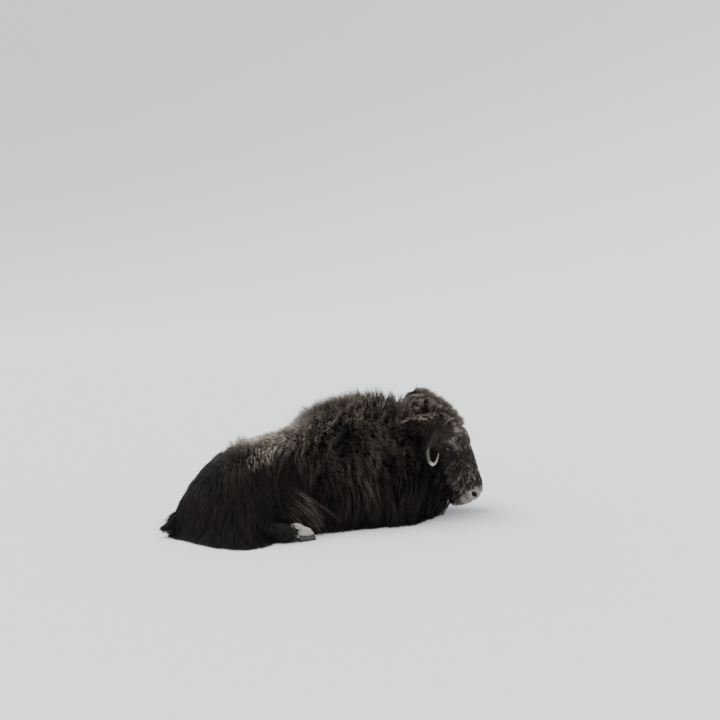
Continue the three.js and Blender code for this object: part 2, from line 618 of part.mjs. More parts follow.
// A rounded clump of wool that leans along the lay.
function clump(surface, [u, v], lay, { size }) {
	const normal = surfaceNormal(surface, u, v);
	const way = lay(surface.at(u, v, 1));
	way.addScaledVector(normal, -way.dot(normal)).normalize();
	const across = way.clone().cross(normal);
	const twist = random();
	const shape = loft(CLUMP_RISES.map((rise, i) => {
		const middle = surface.at(u, v, rise).addScaledVector(way, CLUMP_LEAN * size * i / 2);
		return around(5).map((turn) => {
			const angle = 2 * Math.PI * (turn + twist);
			return middle.clone()
				.addScaledVector(way, 1.12 * size * CLUMP_SPREAD[i] * Math.cos(angle))
				.addScaledVector(across, size * CLUMP_SPREAD[i] * Math.sin(angle));
		});
	}));
	return crossesItself(shape) ? null : shape;
}

const jitter = (size) => (random() - 0.5) * 2 * size;

// Places in rows along the body, every second row set between those of the row before.
function rowPlaces({ from, to, pitch, levels }) {
	return levels.flatMap((level, row) => {
		const count = Math.round((to - from) / pitch);
		return Array.from({ length: count }, (_, i) => ({
			row,
			place: [
				from + pitch * (i + 0.25 + 0.5 * (row % 2)) + jitter(LOCK.jitter * pitch),
				level + jitter(0.012)
			]
		}));
	});
}

// Places spread evenly over a band of the back, between two levels up the sides.
function bandPlaces({ from, to, pitch, levels: [low, high] }) {
	const rows = Math.round((to - from) / pitch);
	const stations = Array.from({ length: rows }, (_, row) => from + (to - from) * (row + 0.5) / rows);
	return stations.flatMap((x, row) => {
		const top = body.at(x, 0.5, 1);
		const arc = body.at(x, low, 1).distanceTo(top) + top.distanceTo(body.at(x, high, 1));
		const count = Math.max(Math.round(arc / pitch), 2);
		return Array.from({ length: count }, (_, i) => [
			x + jitter(LOCK.jitter * pitch),
			low + (high - low) * (i + 0.3 + 0.4 * (row % 2)) / count + jitter(0.01)
		]);
	});
}

const layTo = (x, y, z) => () => new THREE.Vector3(x, y, z);
const flankLay = (p) => new THREE.Vector3(0.75 * bell(p.x + 330, 130) - 0.3 * bell(p.x - 120, 220), 0, -1);
const humpLay = (p) => new THREE.Vector3(p.x > 200 ? 0.5 : -1, 0, -Math.abs(p.y) / 260);
const haunchLay = (side) => (p) => p.clone().sub(HAUNCH_TOPS[side > 0 ? 0 : 1]).setZ(-170);

// A lock that hangs free of the surface, from a root towards its fall.
function hangingLock(root, out, fall, { length, width, thickness }, grow = 0) {
	const way = new THREE.Vector3(...fall).normalize();
	const across = way.clone().cross(out).normalize();
	const flat = across.clone().cross(way).normalize();
	const marks = [-0.22, 0.25, 0.65, 1];
	return loft(marks.map((mark, i) => {
		const stretch = i === 0 ? -grow : i === 3 ? 2 * grow : 0;
		const middle = root.clone().addScaledVector(way, mark * length + stretch)
			.addScaledVector(out, thickness * (0.5 - 0.7 * mark * mark));
		const halfWidth = width * LOCK_WIDTHS[i] / 2 + 5 * grow;
		const halfDepth = thickness * LOCK_DEPTHS[i] / 2 + 4 * grow;
		return LOCK_SECTION.map(([side, up]) => middle.clone()
			.addScaledVector(across, side * halfWidth).addScaledVector(flat, up * halfDepth));
	}));
}

// The head's coat: wool on the poll, wavy hair on the cheeks, and hair under the chin.
function headCoat() {
	const hornLine = sides.map(([, side]) => HORN_ROUTE.map((place) => onHead(place, side))).flat();
	const nearHorn = (p) => hornLine.some((q) => q.distanceTo(p) < POLL_WOOL.clearOfHorn);
	const forms = [];
	const { from, to, pitch, turns } = POLL_WOOL;
	const rows = Math.round((to - from) / pitch);
	for (let row = 0; row < rows; row += 1) {
		const t = from + (to - from) * (row + 0.5) / rows;
		const arc = Math.PI * (HEAD_WIDTH(t) + 0.25 * (FACE_LINE(t) - JAW_LINE(t)));
		const count = Math.max(Math.round(arc / pitch), 3);
		for (let i = 0; i < count; i += 1) {
			const place = [t + jitter(8), turns[0] + (turns[1] - turns[0]) * (i + 0.3 + 0.4 * (row % 2)) / count];
			const wool = clump(head, place, layTo(-0.4, 0, -0.5), POLL_WOOL);
			if (wool && !nearHorn(head.at(place[0], place[1], 0))) forms.push(wool);
		}
	}
	sides.forEach(([, side]) => {
		const turnOn = (turn) => (side > 0 ? turn : 1.5 - turn);
		CHEEK_HAIR.turns.forEach((turn, row) => {
			for (let t = CHEEK_HAIR.from + 30 * row; t < CHEEK_HAIR.to; t += CHEEK_HAIR.pitch) {
				const place = [t + jitter(8), turnOn(turn + jitter(0.01))];
				const hair = lock(head, place, layTo(-0.45, 0, -1), CHEEK_HAIR);
				if (hair) forms.push(hair);
			}
		});
		for (let i = 0; i < CHIN_HAIR.count; i += 1) {
			const t = CHIN_HAIR.from + (CHIN_HAIR.to - CHIN_HAIR.from) * i / (CHIN_HAIR.count - 1);
			const place = [t, turnOn(CHIN_HAIR.turns[i % 2] + 0.04)];
			const out = surfaceNormal(head, ...place);
			forms.push(hangingLock(head.at(...place, 0), out, [-0.25, 0, -1], CHIN_HAIR));
		}
	});
	return forms;
}

function earHair(side, grow) {
	const points = [EAR.base, EAR.middle, EAR.tip].map((place) => onHead(place, side));
	const curve = new THREE.CatmullRomCurve3(points, false, 'centripetal');
	const over = onHead([-1, 0, 0], side).sub(onHead([0, 0, 0], side));
	return EAR_HAIR.along.flatMap((s, i) => [1, -1].map((edge) => {
		const along = curve.getTangent(s);
		const spread = EAR.width * [0.72, 0.14][i];
		const root = curve.getPoint(s).addScaledVector(over, edge * spread);
		const fall = along.clone().addScaledVector(over, edge * 0.55).toArray();
		return hangingLock(root, along.clone().cross(over).multiplyScalar(-side), fall, EAR_HAIR, grow);
	}));
}

function tailShape(grow) {
	const points = TAIL.map(([x, y, z]) => new THREE.Vector3(x, y, z));
	const curve = new THREE.CatmullRomCurve3(points, false, 'centripetal');
	const hair = TAIL_HAIR.along.flatMap((s) => [1, -1].map((edge) => {
		const fall = curve.getTangent(s).add(new THREE.Vector3(0, edge * TAIL_HAIR.spread, -0.1));
		const out = new THREE.Vector3(0, edge * 0.4, 0.9).normalize();
		return hangingLock(curve.getPoint(s), out, fall.toArray(), TAIL_HAIR, grow);
	}));
	return join([limb(TAIL, grow), ...hair]);
}

// All the forms of the body's coat, each with the place of its root.
function bodyCoat() {
	const forms = [];
	const add = (place, shape) => {
		if (shape) forms.push({ root: body.at(place[0], place[1], CORE_SHARE), shape });
	};
	const mirrorTurn = ([x, turn], side) => [x, side > 0 ? turn : 1 - turn];
	sides.forEach(([, side]) => {
		rowPlaces(HAUNCH_ROWS).forEach(({ row, place }) => {
			const spot = mirrorTurn(place, side);
			add(spot, lock(body, spot, haunchLay(side), { length: HAUNCH_ROWS.length[row] }));
		});
		rowPlaces(SIDE_ROWS).forEach(({ row, place }) => {
			const spot = mirrorTurn(place, side);
			add(spot, lock(body, spot, flankLay, { length: SIDE_ROWS.length[row] }));
		});
	});
	THROAT_HAIR.turns.forEach((turn) => {
		const place = [THROAT_HAIR.x, turn];
		const root = body.at(...place, CORE_SHARE);
		const out = surfaceNormal(body, ...place);
		add(place, hangingLock(root, out, [0.35, 0.3 * out.y, -1], THROAT_HAIR));
	});
	bandPlaces(HUMP_WOOL).forEach((place) => add(place, clump(body, place, humpLay, HUMP_WOOL)));
	bandPlaces(SADDLE_WOOL).forEach((place) => add(place, clump(body, place, layTo(-1, 0, 0), SADDLE_WOOL)));
	return forms;
}

// Neighbours that stand in the flesh, each with the gap round it.
const grownHorns = join(sides.map(([, side]) => hornShape(side, GAP)));
const earWithHair = (side, grow) => join([earShape(side, grow), ...earHair(side, grow)]);
const grownEars = join(sides.map(([, side]) => earWithHair(side, GAP)));
const grownEyes = join(sides.map(([, side]) => eyeball(side, GAP)));
const grownLimbs = legLimbs(GAP);
const grownFeet = (end) => join(FEET.filter(({ name }) => name.startsWith(end))
	.flatMap((foot) => footPieces(foot, GAP)).map(({ shape }) => shape));
const grownHindFeet = grownFeet('hind');
const grownForeFeet = grownFeet('fore');
const forefootHollows = limb(FOREFOOT_HOLLOW).add(limb(mirrored(FOREFOOT_HOLLOW, FAR_LEG_SHIFT.fore)));
const grownTail = tailShape(GAP);

const whole = body.solid(CORE_SHARE).add(head.solid(CORE_SHARE));

const muskox = new THREE.Group();

const FINISH = {
	wool: { color: 0x2b211a, roughness: 0.95, metalness: 0 },
	horn: { color: 0xb3a58c, roughness: 0.5, metalness: 0 },
	hoof: { color: 0x55504a, roughness: 0.6, metalness: 0 },
	eye: { color: 0x120c08, roughness: 0.08, metalness: 0 }
};

function addNode(name, shape, finish) {
	const mesh = largest(shape.intersect(aboveFloor)).getMesh();
	const geometry = new THREE.BufferGeometry();
	geometry.setAttribute('position', new THREE.BufferAttribute(mesh.vertProperties, 3));
	geometry.setIndex(new THREE.BufferAttribute(mesh.triVerts, 1));
	geometry.computeVertexNormals();
	const node = new THREE.Mesh(geometry, new THREE.MeshStandardMaterial(FINISH[finish]));
	node.name = name;
	muskox.add(node);
}

// The part of the body that a root of the coat lies on.
function ownerOf(p) {
	const before = ({ point, normal }) => {
		const offset = p.clone().sub(new THREE.Vector3(...point));
		return offset.dot(new THREE.Vector3(...normal)) < 0;
	};
	const [back, front, foot] = [HAUNCH_CUT.spineBack, HAUNCH_CUT.spineFront, HAUNCH_CUT.flankFoot];
	const y = -Math.abs(p.y);
	const spineLine = back[1] + (front[1] - back[1]) * (p.x - back[0]) / (front[0] - back[0]);
	const flankLine = front[0] + (foot[0] - front[0]) * (y - front[1]) / (foot[1] - front[1]);
	if (y < spineLine && p.x < flankLine) return p.y < 0 ? 'hind_leg_right' : 'hind_leg_left';
	if (before(SHOULDER_CUT)) return 'torso';
	return before(HEAD_CUT) ? 'neck' : 'head';
}

const coat = bodyCoat().map(({ root, shape }) => ({ owner: ownerOf(root), shape }));
headCoat().forEach((shape) => coat.push({ owner: 'head', shape }));
const withCoat = (owner, flesh) => wasm.Manifold.union(
	[flesh, ...coat.filter((form) => form.owner === owner).map(({ shape }) => shape)]
);

function addTorso() {
	const carved = withCoat('torso', whole).intersect(halfSpace(SHOULDER_CUT, -1))
		.subtract(haunchWedge(1, GAP)).subtract(haunchWedge(-1, GAP))
		.subtract(grownLimbs.fore_right).subtract(grownLimbs.fore_left)
		.subtract(grownLimbs.hind_right).subtract(grownLimbs.hind_left)
		.subtract(forefootHollows).subtract(grownHindFeet).subtract(grownTail);
	addNode('torso', carved, 'wool');
}

function addNeck() {
	const carved = withCoat('neck', whole)
		.intersect(halfSpace(SHOULDER_CUT, 1)).intersect(halfSpace(HEAD_CUT, -1))
		.subtract(grownLimbs.fore_right).subtract(grownLimbs.fore_left)
		.subtract(grownHorns).subtract(grownEars);
	addNode('neck', carved, 'wool');
}

function addHead() {
	const carved = addFace(withCoat('head', whole).intersect(halfSpace(HEAD_CUT, 1)))
		.subtract(grownHorns).subtract(grownEars).subtract(grownEyes);
	addNode('head', carved, 'wool');
}

function addLegs() {
	const limbs = legLimbs(0);
	addNode('fore_leg_right', limbs.fore_right.subtract(grownForeFeet), 'wool');
	addNode('fore_leg_left', limbs.fore_left.subtract(grownForeFeet), 'wool');
	sides.forEach(([label, side]) => {
		const haunch = withCoat(`hind_leg_${label}`, whole).intersect(haunchWedge(side, 0));
		const leg = haunch.add(limbs[`hind_${label}`]).subtract(grownHindFeet).subtract(grownTail);
		addNode(`hind_leg_${label}`, leg, 'wool');
	});
	FEET.flatMap((foot) => footPieces(foot, 0)).forEach(({ name, shape }) => addNode(name, shape, 'hoof'));
}

addTorso();
addNeck();
addHead();
addLegs();
addNode('tail', tailShape(0), 'wool');
sides.forEach(([label, side]) => {
	addNode(`ear_${label}`, earWithHair(side, 0), 'wool');
	addNode(`horn_${label}`, hornShape(side, 0), 'horn');
	addNode(`eye_${label}`, eyeball(side, 0), 'eye');
});

// The origin goes under the middle of the model, on the floor.
const extent = new THREE.Box3().setFromObject(muskox);
const centre = extent.getCenter(new THREE.Vector3());
muskox.position.set(-centre.x, -centre.y, -extent.min.z);

export default muskox;
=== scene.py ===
"""A life-size museum model of a young muskox cow that lies on its belly.

One skin covers the frame's flesh, a coat of solid tufts grows over it, and the eyes, horns
and hooves are pieces of their own. Shapes are worked out in millimetres, along the body
from tail to nose, and moved to the frame's place and unit when they become meshes.
"""

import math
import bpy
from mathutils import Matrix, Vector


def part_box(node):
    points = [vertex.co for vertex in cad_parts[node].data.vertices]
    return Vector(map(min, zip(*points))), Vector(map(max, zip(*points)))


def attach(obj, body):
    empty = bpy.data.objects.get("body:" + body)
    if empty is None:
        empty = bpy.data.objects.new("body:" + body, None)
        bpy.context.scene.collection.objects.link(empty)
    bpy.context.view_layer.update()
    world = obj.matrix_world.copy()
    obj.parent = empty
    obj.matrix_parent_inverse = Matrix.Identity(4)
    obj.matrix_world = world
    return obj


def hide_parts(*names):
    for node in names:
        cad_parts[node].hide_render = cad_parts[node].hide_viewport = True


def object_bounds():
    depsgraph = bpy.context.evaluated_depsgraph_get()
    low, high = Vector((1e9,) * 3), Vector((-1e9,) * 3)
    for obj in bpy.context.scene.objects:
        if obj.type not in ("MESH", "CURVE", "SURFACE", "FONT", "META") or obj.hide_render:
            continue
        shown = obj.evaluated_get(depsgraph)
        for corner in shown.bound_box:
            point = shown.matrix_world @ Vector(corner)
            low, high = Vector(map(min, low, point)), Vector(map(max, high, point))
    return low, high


bl_info = {
    "name": "Lying Muskox",
    "version": (1, 0, 0),
    "blender": (4, 5, 0),
    "location": "3D View > Sidebar > Muskox",
    "description": "Builds the skin, coat, eyes, horns and hooves of a lying muskox round its frame",
    "category": "Add Mesh",
}

import bpy
import numpy as np
from bpy.props import FloatProperty, FloatVectorProperty, IntProperty, PointerProperty
from mathutils import Vector

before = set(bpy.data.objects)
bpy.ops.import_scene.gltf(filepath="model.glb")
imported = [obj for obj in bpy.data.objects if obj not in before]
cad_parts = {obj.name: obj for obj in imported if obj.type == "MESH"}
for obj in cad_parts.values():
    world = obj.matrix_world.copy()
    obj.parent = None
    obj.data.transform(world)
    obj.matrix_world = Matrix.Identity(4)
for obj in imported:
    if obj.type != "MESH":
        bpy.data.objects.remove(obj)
CAD_BOX = [list(corner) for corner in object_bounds()]
MM = 0.001
SEED = 20
BODY = "root"
FLESH = (
    "torso", "neck", "head", "tail", "fore_leg_right", "fore_leg_left",
    "hind_leg_right", "hind_leg_left", "ear_right", "ear_left",
)
SIDES = {"right": 1, "left": -1}
TONE_LAYER = "tone"
BAKE_MAP = "OFBake"
LIMB_SIDES = 28


def track(pairs):
    """Returns a smooth curve through (place, value) pairs.

    Between two pairs it is a cubic, whose slope at each pair is the harmonic mean of the
    slopes on either side of it, or zero at a peak, so that the curve never overshoots.
    """
    places, values = (np.array(column, float) for column in zip(*pairs))
    spans = np.diff(places)
    secants = np.diff(values) / spans
    before = np.concatenate([secants[:1], secants])
    after = np.concatenate([secants, secants[-1:]])
    product, total = before * after, before + after
    slopes = np.where(product > 0, 2 * product / np.where(total == 0, 1, total), 0)

    def curve(x):
        x = np.clip(np.asarray(x, float), places[0], places[-1])
        i = np.clip(np.searchsorted(places, x, side="right") - 1, 0, len(spans) - 1)
        s = (x - places[i]) / spans[i]
        return (
            values[i] * (1 + 2 * s) * (1 - s) ** 2
            + slopes[i] * spans[i] * s * (1 - s) ** 2
            + values[i + 1] * s * s * (3 - 2 * s)
            + slopes[i + 1] * spans[i] * s * s * (s - 1)
        )

    return curve


# The whole animal's driving sizes, out to the tips of the coat, the same as the frame's.
# Widths are half widths. Each pair is a place along the body or the head and the size there.
BODY_BACK, BODY_FRONT = -884, 606
TOP_LINE = track([
    (BODY_BACK, 20), (-863, 114), (-783, 252), (-700, 346), (-590, 416), (-470, 452), (-356, 482),
    (-274, 514), (-144, 612), (-50, 654), (110, 681), (210, 683), (330, 622), (430, 575), (510, 400),
    (BODY_FRONT, 118),
])
RIGHT_WIDTH = track([
    (BODY_BACK, 14), (-860, 46), (-800, 104), (-711, 160), (-640, 190), (-560, 206), (-470, 214),
    (-390, 222), (-200, 250), (80, 278), (250, 274), (360, 250), (450, 208), (530, 140), (BODY_FRONT, 52),
])
LEFT_WIDTH = track([
    (BODY_BACK, 14), (-860, 70), (-800, 160), (-711, 240), (-600, 296), (-470, 290),
    (-390, 270), (-200, 250), (80, 266), (250, 262), (360, 244), (450, 200), (530, 132), (BODY_FRONT, 50),
])
FLOOR_FLARE = track([
    (BODY_BACK, 6), (-800, 36), (-711, 78), (-600, 95), (-500, 64), (-400, 8), (-200, -14),
    (40, -34), (280, -10), (360, -30), (450, -58), (530, -48), (BODY_FRONT, -20),
])
MIDLINE = track([
    (BODY_BACK, 0), (-711, -60), (-560, -80), (-400, -34), (-200, 0), (300, 0), (430, -12),
    (520, -48), (BODY_FRONT, -76),
])
UNDERLINE = track([(BODY_BACK, 0), (480, 0), (540, 26), (BODY_FRONT, 72)])
BOXINESS = track([
    (BODY_BACK, 0.8), (-600, 0.56), (-400, 0.7), (0, 0.86), (300, 0.82), (BODY_FRONT, 0.7),
])
COAT_DEPTH = track([
    (BODY_BACK, 34), (-700, 54), (-400, 58), (-150, 78), (50, 100), (260, 108), (450, 96), (BODY_FRONT, 54),
])

HEAD_PIVOT, HEAD_TURN, HEAD_DROP = (450, -20, 0), 18, 67
HEAD_REACH, HEAD_HEIGHT = 120, 600
HEAD_BACK, HEAD_FRONT = -110, 559
FACE_LINE = track([
    (HEAD_BACK, -100), (-90, -62), (-50, -34), (11, 6), (91, 37), (160, 32), (237, 36), (262, 28),
    (330, 18), (420, 10), (500, 3), (531, -9), (549, -34), (HEAD_FRONT, -72),
])
JAW_LINE = track([
    (HEAD_BACK, -180), (-60, -250), (20, -290), (150, -282), (237, -250), (321, -222), (409, -196),
    (487, -180), (531, -172), (550, -158), (HEAD_FRONT, -128),
])
HEAD_WIDTH = track([
    (HEAD_BACK, 30), (-80, 96), (-30, 132), (60, 146), (130, 134), (180, 108), (226, 97), (321, 92),
    (409, 79), (487, 66), (531, 58), (549, 46), (HEAD_FRONT, 24),
])
HEAD_COAT = track([(HEAD_BACK, 58), (20, 62), (100, 48), (156, 24), (196, 0), (HEAD_FRONT, 0)])
WIDEST_SHARE, JAW_NARROWING = 0.46, 0.24
UPRIGHT_CURVE, SIDE_CURVE = 0.84, 0.82

# Places on the head: along it from the poll, out to the side, and up from its axis.
EYE = {
    "t": 226, "out": 90, "rise": -101, "radius": 17, "look": (0.12, 1.0, 0.1), "bulge": 1.1,
    "bulge_reach": 0.5, "tilt": 50, "pupil_width": 0.42, "pupil_height": 0.2,
}
ORBIT = {"t": 216, "rise": -92, "reach": 34, "swell": 5}
LID = {
    "slant": 30, "half_length": 15.5, "upper": 8.6, "lower": 6.2, "thickness": 2.6,
    "fold_depth": 1.8, "fold_gap": 5.5, "fold_width": 1.7, "fold_length": 17, "hollow": 13,
}
BROW_ROUTE = [(166, -122), (172, -96), (186, -72), (212, -54), (240, -52)]
BOSS_BAND, BOSS_REACH = [(130, 48, -28), (173, 34, 6), (215, 21, 24), (262, 6, 28)], 33
MOUTH_ROUTE = [
    (456, -149), (475, -142), (490, -138), (520, -126), (544, -112), (553, -101), (558, -99),
]
NOSTRIL = {"t": 521, "rise": -58, "half_length": 22, "half_width": 15, "slant": 16, "depth": 17}
EAR = {
    "route": [(40, 88, -96), (18, 164, -182), (-14, 204, -246)],
    "width": 48, "wall": 7, "open": (0.15, -0.36, -0.93),
}
HORN_ROUTE = [
    (250, 30, 18), (218, 40, 10), (187, 54, -6), (131, 84, -47), (112, 118, -100), (128, 144, -156),
    (162, 152, -192), (200, 157, -210), (236, 161, -215), (254, 164, -204), (251, 167, -188),
    (234, 168, -171), (209, 168, -152),
]
HORN_GIRTH = track([(0, 15), (0.12, 20), (0.3, 19), (0.5, 13), (0.7, 10), (0.85, 6.5), (0.94, 4.2), (1, 1.4)])
BOSS_FLATNESS = track([(0, 0.5), (0.25, 0.62), (0.45, 0.95), (1, 0.95)])

# Legs and tail, as joints with a radius at each, for the animal's right side.
FOREARM = [(80, -150, 160, 46), (388, -124, 62, 36)]
FORE_CANNON = [(396, -124, 48, 34), (290, -116, 32, 26), (158, -108, 26, 22)]
HIND_SHANK = [
    (-610, -205, 90, 45), (-520, -240, 75, 38), (-440, -280, 60, 32), (-392, -300, 54, 30),
    (-345, -302, 50, 30), (-314, -300, 38, 25), (-282, -300, 26, 18),
]
FAR_LEG_SHIFT = {"fore": -14, "hind": 18}
TAIL = [(-800, 0, 150, 26), (-862, -4, 92, 15), (-898, -14, 58, 8), (-922, -22, 46, 3)]
HOOF = {"length": 84, "width": 35, "height": 44, "spread": 19.5, "toe_in": 0.06}
DEWCLAW = {"radius": 11, "length": 30, "spread": 17}
HOOF_BACKS = {"hind": (-335, -300, 1), "fore": (166, -108, -1)}

# Where the coat's marks lie along the trunk, as the middle and the reach of a bell.
NAPE, HUMP_REAR = (338, 50), (-150, 85)
SADDLE, SADDLE_FRONT, SADDLE_WOOL, SADDLE_TUFT = (-405, 150), (-245, 70), (-405, 145), (-530, 60)
FLANK_STREAK, FLANK_SWEEP, FLANK_HAIR, CURTAIN = (-345, 48), (-345, 66), (-350, 60), (-368, 38)

# The coat's limits: shares of its depth, heights over the floor, the room past the frame's box
# as a share and a margin, gaps to the horns, and where the trunk's floor hair ends at the back
# and how far it runs on.
MID_COAT, ROOT_RISE, ROOT_SINK = 0.5, 0.3, 0.02
FLOOR_HAIR, ROOT_FLOOR = 6, 7
BOX_SHARE, BOX_MARGIN = 0.03, 6
HOOK_CLEARANCE, HORN_CLEARANCE = 3, 4
FLOOR_END, FLOOR_RUN = -902, 14

# The finish. Colours are linear and follow the species, in the greys that the photo gives.
# The dark colours are the hairs' roots: partly their own colour and partly painted shade deep in the coat.
GUARD_DARK, GUARD_TIP = (0.0040, 0.0030, 0.0025), (0.022, 0.0165, 0.013)
WOOL_DARK, WOOL_TIP = (0.009, 0.0070, 0.0058), (0.32, 0.265, 0.218)
SADDLE_DARK, SADDLE_TIP = (0.15, 0.12, 0.095), (0.80, 0.71, 0.59)
FACE_DARK, FACE_TIP = (0.005, 0.004, 0.0034), (0.25, 0.205, 0.172)
MUZZLE_PALE, FOOT_PALE = (0.30, 0.262, 0.228), (0.80, 0.76, 0.70)
EAR_PALE, LID_PALE, BOSS_PALE = (0.36, 0.31, 0.255), (0.10, 0.086, 0.074), (0.34, 0.295, 0.25)
# The nostril's near-black colour is painted shade inside its hollow.
FOOT_DARK, NOSTRIL_SHADE = (0.48, 0.44, 0.39), (0.006, 0.005, 0.0045)
# The horn's darkest grey is painted shade under the veil's hair, and its pale is partly its own colour and
# partly a painted highlight at the bottom of the hook.
HORN_BASE, HORN_HAIR_SHADE, HORN_BEND = (0.13, 0.111, 0.091), (0.055, 0.046, 0.037), (0.24, 0.21, 0.175)
HORN_PALE_AND_HIGHLIGHT, HORN_TIP = (0.56, 0.515, 0.445), (0.16, 0.137, 0.112)
# The hooves' near-black colour low down is painted shade where they meet the floor.
HOOF_GREY, HOOF_FLOOR_SHADE = (0.036, 0.032, 0.028), (0.006, 0.005, 0.0045)
EYE_RIM, IRIS, PUPIL = (0.020, 0.014, 0.011), (0.022, 0.012, 0.006), (0.002, 0.002, 0.003)


def body_section(x, rise):
    """The body's section at x: half widths, low and high lines, flare and the curve's powers.

    Each size is the coat's outer size less the coat's depth times one minus the rise.
    """
    inset = (1 - rise) * COAT_DEPTH(x)
    low, bend = UNDERLINE(x), BOXINESS(x)
    return {
        "right": np.maximum(RIGHT_WIDTH(x) - inset, 2),
        "left": np.maximum(LEFT_WIDTH(x) - inset, 2),
        "low": low,
        "high": np.maximum(TOP_LINE(x) - inset, low + 4),
        "flare": FLOOR_FLARE(x) * (0.25 + 0.75 * rise),
        "middle": MIDLINE(x),
        "bend": bend,
        "lift": 0.55 + 0.45 * bend,
    }


def about(x, mark):
    """A bell along the trunk about one of the coat's marks."""
    return bell(x - mark[0], mark[1])


def signed_power(value, exponent):
    """The size of a value raised to a power, with the value's own sign."""
    return np.sign(value) * np.abs(value) ** exponent


def bell(distance, reach):
    """One at no distance, falling to 1/e at the reach and on to nothing."""
    return np.exp(-((distance / reach) ** 2))


def ramp(value, start, end):
    """Nought at the start and one at the end, with a smooth rise between."""
    s = np.clip((value - start) / (end - start), 0, 1)
    return s * s * (3 - 2 * s)


def unit(vectors):
    """Vectors divided by their lengths."""
    return vectors / np.maximum(np.linalg.norm(vectors, axis=-1, keepdims=True), 1e-9)


def dot(a, b):
    """The dot product of each pair of vectors, kept as a column."""
    return np.sum(a * b, axis=-1, keepdims=True)


class BodySurface:
    """The body's coat as sections across x.

    Turn runs from 0 at the right floor edge over the back to 1 at the left one. Across is
    the half width times the cosine to a power, and up is the height times the sine to another.
    Breadth is about how wide the surface is, in millimetres, for one whole turn.
    """

    u_range, v_range, steps = (BODY_BACK + 8, BODY_FRONT - 4), (0.004, 0.996), (2.0, 0.003)
    breadth = 1250.0

    @staticmethod
    def at(x, turn, rise):
        s = body_section(x, rise)
        across = np.cos(np.pi * turn)
        up = np.maximum(np.sin(np.pi * turn), 0)
        reach = np.where(across > 0, s["right"], s["left"])
        side = reach * np.abs(across) ** s["bend"] + s["flare"] * (1 - up) ** 4
        y = s["middle"] - np.sign(across) * np.maximum(side, 0)
        z = s["low"] + (s["high"] - s["low"]) * up ** s["lift"]
        return np.stack(np.broadcast_arrays(x, y, z), -1)

    @staticmethod
    def locate(p, rise):
        s = body_section(p[..., 0], rise)
        on_right = p[..., 1] < s["middle"]
        up = np.clip((p[..., 2] - s["low"]) / (s["high"] - s["low"]), 0, 1) ** (1 / s["lift"])
        out = np.maximum(np.abs(p[..., 1] - s["middle"]) - s["flare"] * (1 - up) ** 4, 0)
        reach = np.minimum(out / np.where(on_right, s["right"], s["left"]), 1) ** (1 / s["bend"])
        angle = np.arctan2(up, reach) / np.pi
        return p[..., 0], np.where(on_right, angle, 1 - angle)

    @staticmethod
    def holds(p, rise):
        """True for points inside the surface at that rise."""
        s = body_section(p[..., 0], rise)
        up = np.clip((p[..., 2] - s["low"]) / (s["high"] - s["low"]), 0, 9) ** (1 / s["lift"])
        reach = np.where(p[..., 1] < s["middle"], s["right"], s["left"])
        out = (np.abs(p[..., 1] - s["middle"]) / reach) ** (1 / s["bend"])
        inside = (up**2 + out**2 < 1) & (p[..., 2] > s["low"])
        return inside & (p[..., 0] > BODY_BACK) & (p[..., 0] < BODY_FRONT)


def head_axes():
    """The head's axis, left, dorsal direction and origin: it is turned, then dropped."""
    turn, drop = math.radians(HEAD_TURN), math.radians(HEAD_DROP)
    forward = np.array([math.cos(turn), -math.sin(turn), 0])
    left = np.array([math.sin(turn), math.cos(turn), 0])
    up = np.array([0, 0, 1.0])
    along = forward * math.cos(drop) - up * math.sin(drop)
    dorsal = forward * math.sin(drop) + up * math.cos(drop)
    origin = np.array(HEAD_PIVOT) + forward * HEAD_REACH + up * HEAD_HEIGHT
    return np.stack([along, left, dorsal]), origin


HEAD_AXES, HEAD_ORIGIN = head_axes()


def on_head(place, side):
    """Places (along, out, up) on one side of the head as points of the body's space."""
    place = np.asarray(place, float)
    return (place * np.array([1, -side, 1])) @ HEAD_AXES + HEAD_ORIGIN


def head_place(p):
    """Points of the body's space as places on the head: along it, to the left, and up from its axis."""
    return np.moveaxis((p - HEAD_ORIGIN) @ HEAD_AXES.T, -1, 0)


def one_side(place):
    """Places on the head with the left side laid on the right one, as both are alike."""
    return np.stack([place[..., 0], np.abs(place[..., 1]), place[..., 2]], -1)


def head_swell(t, z):
    """The low swelling of the eye's orbit: a bell along the head times a bell up it."""
    return ORBIT["swell"] * bell(t - ORBIT["t"], ORBIT["reach"]) * bell(z - ORBIT["rise"], ORBIT["reach"])


